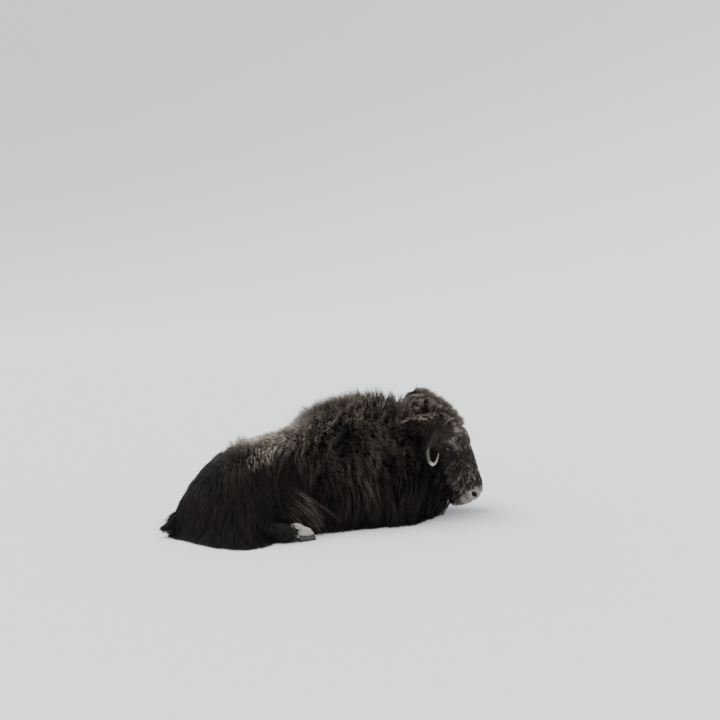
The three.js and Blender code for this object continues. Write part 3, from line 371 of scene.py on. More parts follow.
class HeadSurface:
    """The head as sections along its own axis, in the same way, with turn going once round.

    Turn 0 is its right side, 0.25 the line of the face, 0.5 its left side and 0.75 the jaw.
    """

    u_range, v_range, steps = (HEAD_BACK + 4, HEAD_FRONT - 2), (-0.25, 0.75), (2.0, 0.003)
    breadth = 760.0

    @staticmethod
    def section(t, rise):
        inset = (1 - rise) * HEAD_COAT(t)
        top = FACE_LINE(t) - inset
        bottom = np.minimum(JAW_LINE(t) + inset * 0.6, top - 6)
        return top, bottom, top - WIDEST_SHARE * (top - bottom), np.maximum(HEAD_WIDTH(t) - inset, 4)

    @staticmethod
    def lift(z, top, bottom, middle):
        """How high a place lies in its section: 0 at its widest, 1 at the top, -1 at the bottom."""
        return (z - middle) / np.where(z > middle, top - middle, middle - bottom)

    @staticmethod
    def local(t, turn, rise):
        top, bottom, middle, width = HeadSurface.section(t, rise)
        across, up = np.cos(2 * np.pi * turn), np.sin(2 * np.pi * turn)
        z = middle + np.where(up > 0, top - middle, middle - bottom) * signed_power(up, UPRIGHT_CURVE)
        narrowing = 1 - JAW_NARROWING * np.maximum(-up, 0)
        out = width * signed_power(across, SIDE_CURVE) * narrowing + np.sign(across) * head_swell(t, z)
        return np.stack(np.broadcast_arrays(t, out, z), -1)

    @staticmethod
    def at(t, turn, rise):
        return on_head(HeadSurface.local(t, turn, rise), 1)

    @staticmethod
    def locate(p, rise):
        t, y, z = head_place(p)
        top, bottom, middle, width = HeadSurface.section(t, rise)
        share = HeadSurface.lift(z, top, bottom, middle)
        up = signed_power(np.clip(share, -1, 1), 1 / UPRIGHT_CURVE)
        across = signed_power(np.clip(-y / width, -1, 1), 1 / SIDE_CURVE)
        turn = np.arctan2(up, across) / (2 * np.pi)
        return t, np.where(turn < -0.25, turn + 1, turn)

    @staticmethod
    def holds(p, rise):
        """True for points inside the surface at that rise."""
        t, y, z = head_place(p)
        top, bottom, middle, width = HeadSurface.section(t, rise)
        share = np.abs(HeadSurface.lift(z, top, bottom, middle))
        out = np.abs(y / width) ** (1 / SIDE_CURVE)
        return (share ** (2 / UPRIGHT_CURVE) + out**2 < 1) & (t > HEAD_BACK) & (t < HEAD_FRONT)

    @staticmethod
    def reach(t, z):
        """How far out the bare skin lies at a place along the head and a height over its axis."""
        top, bottom, middle, width = HeadSurface.section(t, 0)
        share = HeadSurface.lift(z, top, bottom, middle)
        lift = np.minimum(np.abs(share), 1) ** (1 / UPRIGHT_CURVE)
        narrowing = 1 - JAW_NARROWING * np.where(z < middle, lift, 0)
        side = np.sqrt(np.maximum(1 - lift * lift, 0)) ** SIDE_CURVE
        return width * side * narrowing + head_swell(t, z)


def slopes(shape, rise, u, v, du, dv):
    """How a shape runs along and over at a place: between the points a step either side of it."""
    along = shape(u + du, v, rise) - shape(u - du, v, rise)
    return along, shape(u, v + dv, rise) - shape(u, v - dv, rise)


def surface_normal(surface, u, v):
    """The outward direction: the cross product of the surface's two slopes, halfway up the coat."""
    return unit(np.cross(*slopes(surface.at, MID_COAT, u, v, *surface.steps)))


def frame_shift():
    """How far the frame stands from the shapes' own space, from the right eye's place in both."""
    low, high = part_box("eye_right")
    middle = np.array((low + high) / 2)
    return middle - on_head((EYE["t"], EYE["out"], EYE["rise"]), 1) * MM


SHIFT = frame_shift()


def coat_reach():
    """The two corners that the coat stays within: the frame's box, let out all round."""
    box = (np.array(CAD_BOX) - SHIFT) / MM
    room = (box[1] - box[0]) * BOX_SHARE + BOX_MARGIN
    return np.array([box[0] - room, box[1] + room])


REACH = coat_reach()


def new_mesh(name, points, faces):
    """A mesh object from points in millimetres and rows of corner numbers, all of one length."""
    points = np.asarray(points, float).reshape(-1, 3) * MM + SHIFT
    faces = np.asarray(faces, np.int32)
    mesh = bpy.data.meshes.new(name)
    mesh.vertices.add(len(points))
    mesh.vertices.foreach_set("co", points.astype(np.float32).ravel())
    mesh.loops.add(faces.size)
    mesh.loops.foreach_set("vertex_index", faces.ravel())
    mesh.polygons.add(len(faces))
    mesh.polygons.foreach_set("loop_start", np.arange(0, faces.size, faces.shape[1], dtype=np.int32))
    mesh.polygons.foreach_set("use_smooth", np.full(len(faces), True))
    mesh.update(calc_edges=True)
    piece = bpy.data.objects.new(name, mesh)
    bpy.context.scene.collection.objects.link(piece)
    return piece


def grid_faces(rings, sides):
    """Quads between closed rings of points, each ring joined to the next."""
    ring, side = np.meshgrid(np.arange(rings - 1), np.arange(sides), indexing="ij")
    a = ring * sides + side
    b = ring * sides + (side + 1) % sides
    return np.stack([a, b, b + sides, a + sides], -1).reshape(-1, 4)


def closed_loft(name, rings):
    """A closed mesh over rings of points, with a middle point at each end.

    Rings is an array of stations by points. If its volume comes out negative, it is turned over.
    """
    stations, sides = rings.shape[:2]
    ends = np.stack([rings[0].mean(0), rings[-1].mean(0)])
    points = np.concatenate([rings.reshape(-1, 3), ends])
    quads = grid_faces(stations, sides)
    near = np.arange(sides)
    far = near + (stations - 1) * sides
    tris = np.concatenate([
        quads[:, [0, 1, 2]], quads[:, [0, 2, 3]],
        np.stack([np.full(sides, stations * sides), (near + 1) % sides, near], -1),
        np.stack([np.full(sides, stations * sides + 1), far, far[(near + 1) % sides]], -1),
    ])
    corners = points[tris]
    volume = np.sum(np.cross(corners[:, 0], corners[:, 1]) * corners[:, 2])
    return new_mesh(name, points, tris if volume > 0 else tris[:, ::-1])


def smooth_route(route, shares):
    """Points on a centripetal Catmull-Rom curve through a route, at shares of its way."""
    route = np.asarray(route, float)
    padded = np.concatenate([[2 * route[0] - route[1]], route, [2 * route[-1] - route[-2]]])
    place = np.clip(np.asarray(shares, float), 0, 1) * (len(route) - 1)
    i = np.minimum(place.astype(int), len(route) - 2)
    w = (place - i)[:, None]
    p0, p1, p2, p3 = (padded[i + k] for k in range(4))
    gaps = [np.linalg.norm(b - a, axis=1)[:, None] ** 0.5 for a, b in ((p0, p1), (p1, p2), (p2, p3))]
    m1 = (p1 - p0) / gaps[0] - (p2 - p0) / (gaps[0] + gaps[1]) + (p2 - p1) / gaps[1]
    m2 = (p2 - p1) / gaps[1] - (p3 - p1) / (gaps[1] + gaps[2]) + (p3 - p2) / gaps[2]
    m1, m2 = m1 * gaps[1], m2 * gaps[1]
    return (
        p1 + m1 * w + (3 * (p2 - p1) - 2 * m1 - m2) * w**2 + (2 * (p1 - p2) + m1 + m2) * w**3
    )


def route_way(route, shares, step):
    """Which way a route runs at shares of its way: between its points a step before and after."""
    return unit(smooth_route(route, shares + step) - smooth_route(route, shares - step))


def rod_rings(route, stations, sides, width, thickness, flat_to):
    """Oval rings along a smooth route: a cosine across and a sine through, times the half sizes.

    The across direction is carried from ring to ring, so the rod doesn't twist.
    """
    shares = np.linspace(0, 1, stations)
    line = smooth_route(route, shares)
    tangent = unit(np.gradient(line, axis=0))
    across = np.zeros_like(tangent)
    carried = np.cross(tangent[0], flat_to)
    for k in range(stations):
        carried = unit(carried - tangent[k] * dot(carried, tangent[k]))
        across[k] = carried
    through = np.cross(across, tangent)
    turns = np.linspace(0, 2 * np.pi, sides, endpoint=False)
    wide = np.cos(turns)[None, :, None] * (width(shares)[:, None, None] * across[:, None])
    thick = np.sin(turns)[None, :, None] * (thickness(shares)[:, None, None] * through[:, None])
    return line[:, None] + wide + thick


def limb_loft(name, joints, stations=24):
    """A closed limb through its joints, which tapers as they do and has rounded ends."""
    joints = np.asarray(joints, float)
    radius = track(list(zip(np.linspace(0, 1, len(joints)), joints[:, 3])))
    rounding = track([(0, 0.3), (0.03, 0.75), (0.08, 1), (0.92, 1), (0.97, 0.75), (1, 0.3)])

    def size(shares):
        return radius(shares) * rounding(shares)

    return closed_loft(name, rod_rings(joints[:, :3], stations, LIMB_SIDES, size, size, (0, 0, 1)))


def mirrored(joints, shift=0):
    """Joints moved to the animal's other side."""
    return [(x + shift, -y, z, r) for x, y, z, r in joints]


def route_distance(points, route):
    """The distance from each point to the nearest place on a line of straight stretches."""
    route = np.asarray(route, float)
    starts, spans = route[:-1], np.diff(route, axis=0)
    offset = points[..., None, :] - starts
    share = np.clip(np.sum(offset * spans, -1) / np.sum(spans * spans, -1), 0, 1)
    return np.linalg.norm(offset - share[..., None] * spans, axis=-1).min(-1)


def side_route(route):
    """A route of (along, up) places laid on the side of the head."""
    t, z = np.array(route, float).T
    return np.stack([t, HeadSurface.reach(t, z), z], -1)


def dense_places(start, end, coarse, finer):
    """Places from start to end whose spacing shrinks near each (place, reach, spacing) given."""
    probe = np.linspace(start, end, 4000)
    density = 1 / coarse + sum(
        (1 / spacing - 1 / coarse) * bell(probe - place, reach) for place, reach, spacing in finer
    )
    total = np.concatenate([[0], np.cumsum((density[1:] + density[:-1]) / 2 * np.diff(probe))])
    count = int(round(total[-1])) + 1
    return np.interp(np.linspace(0, total[-1], count), total, probe)


def slanted(t, z, spot, slant):
    """How far a place on the head's side lies along and over a line slanted through a spot."""
    slant = math.radians(slant)
    dt, dz = t - spot["t"], z - spot["rise"]
    return dt * math.cos(slant) + dz * math.sin(slant), -dt * math.sin(slant) + dz * math.cos(slant)


def socket_height(t, z, base):
    """How far out the skin lies round an eye.

    Inside the almond of the lids it drops behind the ball, and from its edge outwards it
    follows the ball at a lid's thickness until the plain skin lies further out. The almond's
    half height is a parabola along the slit, higher above than below.
    """
    along, over = slanted(t, z, EYE, LID["slant"])
    room = 1 - (along / LID["half_length"]) ** 2
    limit = np.where(over > 0, LID["upper"], LID["lower"]) * np.maximum(room, 0)
    inside = ramp(limit - np.abs(over), -0.6, 0.8) * (room > 0)
    distance = np.hypot(t - EYE["t"], z - EYE["rise"])
    ball = EYE["out"] + np.sqrt(np.maximum((EYE["radius"] + LID["thickness"]) ** 2 - distance**2, 0))
    near = ramp(distance, EYE["radius"] + 9, EYE["radius"] - 2)
    lidded = base + near * np.maximum(ball - base, 0)
    crease = bell(np.abs(over) - LID["upper"] - LID["fold_gap"], LID["fold_width"])
    fold = LID["fold_depth"] * crease * bell(along, LID["fold_length"]) * (over > 0)
    floor = EYE["out"] + EYE["radius"] - LID["hollow"]
    return lidded * (1 - inside) + floor * inside - fold


def nostril_share(t, z):
    """How far out of the nostril's middle a place is: one on its edge, which is an oval."""
    along, over = slanted(t, z, NOSTRIL, NOSTRIL["slant"])
    return np.hypot(along / NOSTRIL["half_length"], over / NOSTRIL["half_width"])


# The skin's grids. The head's is given by its spacing along and round, with finer places as a
# place, a reach and the spacing there, and the trunk's by numbers of points and its lowest height.
# Sockets are cut within a reach of the eye's middle, past a way out.
HEAD_GRID = {
    "start": 58, "along": 5.0, "fine_along": [(EYE["t"], 26, 1.15), (520, 34, 1.5)], "round": 0.0068,
    "fine_round": [(0.0, 0.04, 0.0018), (0.5, 0.04, 0.0018), (-0.1, 0.05, 0.0035), (0.6, 0.05, 0.0035)],
}
BODY_GRID = {"start": 40, "end": 50, "stations": 110, "sides": 74, "floor": 2.0}
SOCKET_REACH, SOCKET_OUT = 40, 55


def face_relief(local):
    """How far each place of the head stands out from its plain sections.

    Brow and lips are bells about their routes, the mouth is a narrow bell inwards, the
    nostril is a pit with a raised wing round it, and cheek and jaw are wide shallow bells.
    """
    near = one_side(local)
    t, z = near[..., 0], near[..., 2]
    rise = 8.5 * bell(route_distance(near, side_route(BROW_ROUTE)), 9.5)
    pit = nostril_share(t, z)
    rise += 4.5 * bell(pit - 1.45, 0.42) - NOSTRIL["depth"] * ramp(pit, 1.12, 0.62)
    mouth = route_distance(near, side_route(MOUTH_ROUTE))
    rise += 5.0 * bell(mouth - 8.5, 6.0) * ramp(t, 448, 474)
    rise -= 5.5 * bell(mouth, 2.4)
    rise += 5 * bell(t - 330, 60) * bell(z + 150, 34) - 4 * bell(t - 292, 30) * bell(z + 82, 18)
    rise += 1.1 * np.sin(t * 0.21 + 0.05 * z) * bell(t - 470, 55) * bell(z + 70, 40)
    return rise


def head_shell():
    """The bare head: a fine grid of its sections, raised by the face's relief and cut at the eyes."""
    start = HEAD_BACK + HEAD_GRID["start"]
    t = dense_places(start, HEAD_FRONT, HEAD_GRID["along"], HEAD_GRID["fine_along"])
    turn = dense_places(*HeadSurface.v_range, HEAD_GRID["round"], HEAD_GRID["fine_round"])[:-1]
    grid_t, grid_turn = np.meshgrid(t, turn, indexing="ij")
    local = HeadSurface.local(grid_t, grid_turn, 0)
    along, over = slopes(HeadSurface.local, 0, grid_t, grid_turn, *HeadSurface.steps)
    normal = unit(np.cross(over, along))
    local = local + normal * face_relief(local)[..., None]
    out = np.abs(local[..., 1])
    socket = socket_height(local[..., 0], local[..., 2], out)
    distance = np.hypot(local[..., 0] - EYE["t"], local[..., 2] - EYE["rise"])
    near = (distance < SOCKET_REACH) & (out > SOCKET_OUT)
    local[..., 1] = np.where(near, np.sign(local[..., 1]) * socket, local[..., 1])
    return closed_loft("skin_head", on_head(local, 1))


def body_shell():
    """The bare trunk, a coat's depth inside the coated sections, closed beneath."""
    x = np.linspace(BODY_BACK + BODY_GRID["start"], BODY_FRONT - BODY_GRID["end"], BODY_GRID["stations"])
    grid_x, grid_turn = np.meshgrid(x, np.linspace(0, 1, BODY_GRID["sides"]), indexing="ij")
    points = BodySurface.at(grid_x, grid_turn, 0)
    points[..., 2] = np.maximum(points[..., 2], BODY_GRID["floor"])
    return closed_loft("skin_trunk", points)


def ear_leaf(side, shares):
    """An ear's line at shares of its length, the ways its hollow and its edges face, and its sizes."""
    route = on_head(EAR["route"], side)
    line = smooth_route(route, shares)
    tangent = route_way(route, shares, 0.02)
    opening = np.array(EAR["open"]) * np.array([1, side, 1])
    opening = unit(opening - tangent * dot(tangent, opening))
    return {
        "line": line, "tangent": tangent, "opening": opening, "across": np.cross(tangent, opening),
        "width": EAR["width"] * track([(0, 0.55), (0.3, 0.9), (0.55, 1), (0.85, 0.62), (1, 0.1)])(shares),
        "bend": track([(0, 1.25), (0.5, 1.0), (1, 0.7)])(shares),
        "wall": EAR["wall"] * track([(0, 1.6), (0.4, 1), (0.9, 0.7), (1, 0.4)])(shares),
    }


def ear_back(leaf, angle):
    """Points on the back of an ear, at angles over it: an arc whose radius suits the leaf's width."""
    extra = (slice(None), None) if angle.ndim == 2 else (slice(None),)
    radius = (leaf["width"] / np.sin(np.maximum(leaf["bend"], 0.3)))[extra]
    hollow = radius * (np.cos(angle) - np.cos(leaf["bend"])[extra]) * 0.8
    outer = radius * np.sin(angle)
    back = leaf["line"][extra] - leaf["opening"][extra] * hollow[..., None]
    return back + leaf["across"][extra] * outer[..., None]


def ear_shell(label, side):
    """An ear as a leaf bent round its length: an outer arc and an inner one a wall apart.

    At each place along the ear the arcs run over the leaf's width, bent to a shallow cup.
    """
    stations, half = 40, 18
    leaf = ear_leaf(side, np.linspace(0, 1, stations))
    angle = np.linspace(-1, 1, half)[None, :] * leaf["bend"][:, None]
    back = ear_back(leaf, angle)
    inner = back + leaf["opening"][:, None] * leaf["wall"][:, None, None]
    rings = np.concatenate([back, inner[:, ::-1]], axis=1)
    return closed_loft(f"skin_ear_{label}", rings)


def join_skin(parts):
    """One closed skin: the first part united with each of the others by a Boolean."""
    skin, others = parts[0], parts[1:]
    for part in others:
        union = skin.modifiers.new("union", "BOOLEAN")
        union.operation, union.solver, union.object = "UNION", "MANIFOLD", part
    depsgraph = bpy.context.evaluated_depsgraph_get()
    joined = bpy.data.meshes.new_from_object(skin.evaluated_get(depsgraph))
    skin.modifiers.clear()
    skin.data = joined
    skin.name = joined.name = "skin"
    for part in others:
        bpy.data.objects.remove(part)
    return skin


def piece_points(piece):
    """A piece's vertices in millimetres of the shapes' own space."""
    points = np.zeros(len(piece.data.vertices) * 3, np.float32)
    piece.data.vertices.foreach_get("co", points)
    return (points.reshape(-1, 3).astype(float) - SHIFT) / MM


def paint(piece, tones):
    """Stores one colour a vertex, which the finishes read."""
    layer = piece.data.color_attributes.new(TONE_LAYER, "FLOAT_COLOR", "POINT")
    colours = np.ones((len(piece.data.vertices), 4), np.float32)
    colours[:, :3] = tones
    layer.data.foreach_set("color", colours.ravel())


RIPPLE_WAVES, RIPPLE_SPREAD = 9, (0.6, 1.5)


def ripple(points, size, seed):
    """Smooth noise from -1 to 1: a sum of plane waves in seeded directions about one wavelength."""
    rng = np.random.default_rng(seed)
    ways = unit(rng.normal(size=(RIPPLE_WAVES, 3)))
    waves = ways * (2 * np.pi / size) * rng.uniform(*RIPPLE_SPREAD, (RIPPLE_WAVES, 1))
    phases = rng.uniform(0, 2 * np.pi, RIPPLE_WAVES)
    return np.clip(np.sin(points @ waves.T + phases).sum(-1) / RIPPLE_WAVES**0.5, -1, 1)


def mix(a, b, share):
    """A blend of two colours, or of two ways, by a share."""
    share = np.asarray(share)[..., None]
    return np.asarray(a, float) * (1 - share) + np.asarray(b, float) * share


def boss_share(place):
    """One in the pale band of the forehead and horn bases, falling to nothing beside it."""
    return bell(route_distance(one_side(place), BOSS_BAND), BOSS_REACH)


def head_tones(p):
    """The dark and tip colours of the head's hair, and how much of a place is pale and bare.

    Pale marks are bells about the brow and horn bases, and ramps over the nose and lips. The face's tips are
    darkened by painted shade round the eye, just before it and low on the head.
    """
    t, y, z = head_place(p)
    place = one_side(np.stack([t, y, z], -1))
    brow = bell(route_distance(place, side_route(BROW_ROUTE)), 14)
    band = boss_share(place)
    edge = 482 + 0.5 * np.maximum(-74 - z, 0) + 22 * ramp(z, -50, 0)
    muzzle = ramp(t, edge - 14, edge + 8)
    chin = ramp(t, 470, 505) * ramp(z, -128, -142)
    wool = ramp(t, 190, 150)
    eye_way = np.hypot(t - EYE["t"] - 18, z - EYE["rise"] + 6)
    # Painted shade: tips darken round and just before the eye and low under the head.
    shade = 1 - 0.72 * bell(eye_way, 50) - 0.6 * ramp(z, -112, -175) - 0.5 * bell(t - 300, 58)
    tip = mix(np.array(FACE_TIP) * np.clip(shade, 0.18, 1)[..., None], WOOL_TIP, wool)
    dark = mix(FACE_DARK, WOOL_DARK, wool)
    tip = mix(tip, LID_PALE, 0.9 * brow)
    dark = mix(dark, LID_PALE, 0.8 * brow)
    tip, dark = mix(tip, BOSS_PALE, band), mix(dark, BOSS_PALE, 0.6 * band)
    pale = np.clip(muzzle * (1 - 0.8 * chin), 0, 1)
    return mix(dark, MUZZLE_PALE, pale * 0.75), mix(tip, MUZZLE_PALE, pale), np.maximum(pale, 0.6 * brow)


def body_tones(p, turn, pale=1.0):
    """The dark and tip colours of the body's hair.

    Guard hair is darkest low on the sides and wool pales over the hump: partly the wool's own colour, and
    partly painted light on the top and painted shade low down, as the tips pale with height. The saddle is
    palest in a bell behind the hump, wide over the back and fading down the sides. Pale says how far a hair
    takes the saddle's colour.
    """
    x, z = p[..., 0], p[..., 2]
    back = np.sin(np.pi * turn)
    height = body_height(x, turn)
    patch = 0.5 + 0.5 * ripple(p, 190, 3)
    shoulder = bell(x - 40 - 0.55 * (z - 300), 95) * ramp(height, 0.3, 0.5) * ramp(height, 0.86, 0.66)
    # Wool's share grows with height: partly the hump's real wool, partly painted light on top and painted
    # shade low on the sides.
    wool = ramp(x, -330, -150) * np.clip(
        (0.05 + 0.5 * patch) * ramp(height, 0.4, 0.86) + 0.75 * ramp(height, 0.78, 1.0) + 0.3 * shoulder, 0, 1
    ) * ramp(x, 600, 430)
    saddle = about(x, SADDLE) * ramp(height, 0.87, 0.985)
    saddle = saddle + 0.5 * about(x, SADDLE_FRONT) * ramp(height, 0.88, 1)
    saddle = np.clip(saddle * (0.95 + 0.3 * ripple(p, 70, 4)), 0, 1)
    flank = 0.07 * about(x, FLANK_STREAK) * ramp(z, 20, 90) * ramp(z, 330, 200) * ramp(back, 0.1, 0.4)
    dark = mix(GUARD_DARK, WOOL_DARK, wool)
    tip = mix(GUARD_TIP, WOOL_TIP, np.clip(wool + flank, 0, 1))
    saddle = saddle * pale
    return mix(dark, SADDLE_DARK, saddle), mix(tip, SADDLE_TIP, saddle)


def skin_tones(p):
    """The skin's colours, which carry the coat's own marks, darkened with painted shade as between hairs."""
    dark, tip, pale = head_tones(p)
    turn = BodySurface.locate(p, 0)[1]
    body_dark = body_tones(p, turn)[0]
    t, y, z = head_place(p)
    on_face = (np.abs(y) < HEAD_WIDTH(t) + 22) & (z > JAW_LINE(t) - 14) & (t < HEAD_FRONT + 20)
    face = ramp(t, 60, 190) * on_face
    # Painted shade: the inside of the nostril is painted near black for the depth of its hollow.
    pit = ramp(nostril_share(t, z), 0.95, 0.7) * (t > 480)
    place = np.stack([t, y, z], -1)
    share = 0.05 + 0.2 * ramp(t, 190, 150) + 0.45 * boss_share(place)
    face_tone = mix(mix(mix(dark, tip, share), tip, pale), NOSTRIL_SHADE, pit)
    foot = ramp(p[..., 2], 95, 75) * ramp(p[..., 0], -372, -356) * ramp(np.abs(p[..., 1]), 235, 262)
    return mix(mix(body_dark, face_tone, face), FOOT_PALE, foot)


def build_skin():
    """The one skin under the coat, which stands for all the frame's flesh."""
    parts = [body_shell(), head_shell()]
    for name, joints, end, stations in (
        ("fore", FOREARM, "fore", 24), ("cannon", FORE_CANNON, "fore", 24), ("hind", HIND_SHANK, "hind", 40),
    ):
        parts.append(limb_loft(f"skin_{name}_right", joints, stations))
        parts.append(limb_loft(f"skin_{name}_left", mirrored(joints, FAR_LEG_SHIFT[end]), stations))
    parts.append(limb_loft("skin_tail", TAIL))
    parts.extend(ear_shell(label, side) for label, side in SIDES.items())
    skin = join_skin(parts)
    paint(skin, skin_tones(piece_points(skin)))
    skin.data.polygons.foreach_set("use_smooth", np.full(len(skin.data.polygons), True))
    skin.data.materials.clear()
    skin.data.materials.append(skin_finish())
    return skin


# The coat: each tuft is a thin closed prism that tapers to a tip, with rings at its marks.
LONG_MARKS = np.array([0, 0.26, 0.52, 0.78, 1.0])
WOOL_MARKS = np.array([0, 0.22, 0.42, 0.62, 0.82, 1.0])
SHORT_MARKS = np.array([0, 0.36, 0.7, 1.0])
SUBSTEPS = 2
ROOT_CELLS = (420, 320)
BAKE_PATCH = 0.003
LANDING = {"forward": 0.8, "stride": 0.3, "settle": 0.6}
PULL_POWER = 1.4
WAVE = {"locks": 3, "jitter": 0.14, "power": 0.7, "depth": 0.6}
TUFT = {"roll": 0.45, "root": 0.75, "widest": 0.2, "taper": 2.2, "thickness": 0.8, "blend": 1.7}
TUFT_FLOOR, TUFT_UNEVEN = 1.5, 1.2


def sample_roots(surface, count, density, rng):
    """Roots spread over a surface by area and density.

    Each cell's chance is its area low in the coat times the density there, and a root falls
    anywhere in its cell.
    """
    u = np.linspace(*surface.u_range, ROOT_CELLS[0] + 1)
    v = np.linspace(*surface.v_range, ROOT_CELLS[1] + 1)
    mid_u, mid_v = np.meshgrid((u[1:] + u[:-1]) / 2, (v[1:] + v[:-1]) / 2, indexing="ij")
    du, dv = u[1] - u[0], v[1] - v[0]
    along, over = slopes(surface.at, ROOT_RISE, mid_u, mid_v, du / 2, dv / 2)
    area = np.linalg.norm(np.cross(along, over), axis=-1)
    weight = (area * density(mid_u, mid_v)).ravel()
    chosen = rng.choice(weight.size, count, p=weight / weight.sum())
    jitter = rng.uniform(-0.5, 0.5, (2, count))
    return mid_u.ravel()[chosen] + jitter[0] * du, mid_v.ravel()[chosen] + jitter[1] * dv


def hash_share(i, j, salt):
    """A seeded number from 0 to 1 for each whole-number cell."""
    value = np.sin(i * 127.1 + j * 311.7 + salt * 74.7) * 43758.5453
    return value - np.floor(value)


def lock_centres(surface, u, v, size):
    """The middle of the lock that each root belongs to, and that lock's own random number.

    The surface is laid out in square cells with one jittered centre each, and the nearest
    of the nine centres about a root is its own.
    """
    a, b = u / size, v * surface.breadth / size
    base_a, base_b = np.floor(a), np.floor(b)
    best = np.full(u.shape, np.inf)
    centre_a, centre_b, mark = a.copy(), b.copy(), np.zeros(u.shape)
    for step_a in (-1, 0, 1):
        for step_b in (-1, 0, 1):
            i, j = base_a + step_a, base_b + step_b
            spot_a, spot_b = i + hash_share(i, j, 1), j + hash_share(i, j, 2)
            gap = (spot_a - a) ** 2 + (spot_b - b) ** 2
            closer = gap < best
            best = np.where(closer, gap, best)
            centre_a = np.where(closer, spot_a, centre_a)
            centre_b = np.where(closer, spot_b, centre_b)
            mark = np.where(closer, hash_share(i, j, 3), mark)
    return centre_a * size, centre_b * size / surface.breadth, mark


def lock_share(lock):
    """A second seeded number from 0 to 1 for each tuft's lock, from where its middle lies."""
    return hash_share(lock[0], lock[1], 6)


def grow_paths(surface, u, v, lay, hair, lock, marks):
    """The middle line of each tuft, as points at the marks along it.

    A tuft walks over the surface along the lay of the coat and rises from the skin by one
    minus a falling power, which is near a straight line for wool. It runs on outwards
    where it meets the floor. It bends towards its lock's middle, so that tips gather.
    """
    centre_u, centre_v = lock[:2]
    at_u, at_v = u.copy(), v.copy()
    spot = surface.at(at_u, at_v, MID_COAT)
    down = np.zeros(u.shape, bool)
    paths, normals = [], []
    gone = 0.0
    for mark in marks:
        height = hair["rise"] * (1 - (1 - mark) ** hair["power"]) - ROOT_SINK * (mark == 0)
        stride = (mark - gone) * hair["length"][:, None] / SUBSTEPS
        gone = mark
        for _ in range(SUBSTEPS if mark > 0 else 0):
            normal = surface_normal(surface, at_u, at_v)
            way = lay(spot, at_v)
            way = unit(way - normal * dot(way, normal))
            ahead = spot + way * stride
            landing = (ahead[:, 2] < FLOOR_HAIR) & ~down
            outward = unit((way * LANDING["forward"] + normal) * np.array([1, 1, 0]))
            along_floor = spot + outward * stride * LANDING["stride"]
            along_floor[:, 2] = np.maximum(spot[:, 2] * LANDING["settle"], FLOOR_HAIR)
            down |= landing
            new_u, new_v = surface.locate(ahead, MID_COAT)
            at_u, at_v = np.where(down, at_u, new_u), np.where(down, at_v, new_v)
            spot = np.where(down[:, None], along_floor, surface.at(at_u, at_v, MID_COAT))
        pull = hair["pull"] * mark**PULL_POWER
        shown_u = at_u + (centre_u - u) * pull
        shown_v = at_v + (centre_v - v) * pull
        coated = surface.at(shown_u, shown_v, height)
        slack = surface.at(at_u, at_v, height) - surface.at(at_u, at_v, MID_COAT)
        on_floor = spot + slack * np.array([1, 1, 0])
        paths.append(np.where(down[:, None], on_floor, coated))
        normals.append(surface_normal(surface, at_u, at_v))
    return np.stack(paths, 1), np.stack(normals, 1)


def add_waves(path, normal, marks, hair, lock_mark, rng):
    """Curls each tuft: a sine across it and a cosine through it, in step within a lock."""
    tangent = unit(np.gradient(path, axis=1))
    across = unit(np.cross(tangent, normal))
    phase = 2 * np.pi * (lock_mark * WAVE["locks"] + rng.uniform(-WAVE["jitter"], WAVE["jitter"], len(path)))
    turn = 2 * np.pi * marks[None, :] * hair["turns"][:, None] + phase[:, None]
    swing = hair["curl"][:, None] * marks[None, :] ** WAVE["power"]
    path = path + across * (swing * np.sin(turn))[..., None]
    return path + normal * (WAVE["depth"] * swing * np.cos(turn))[..., None]


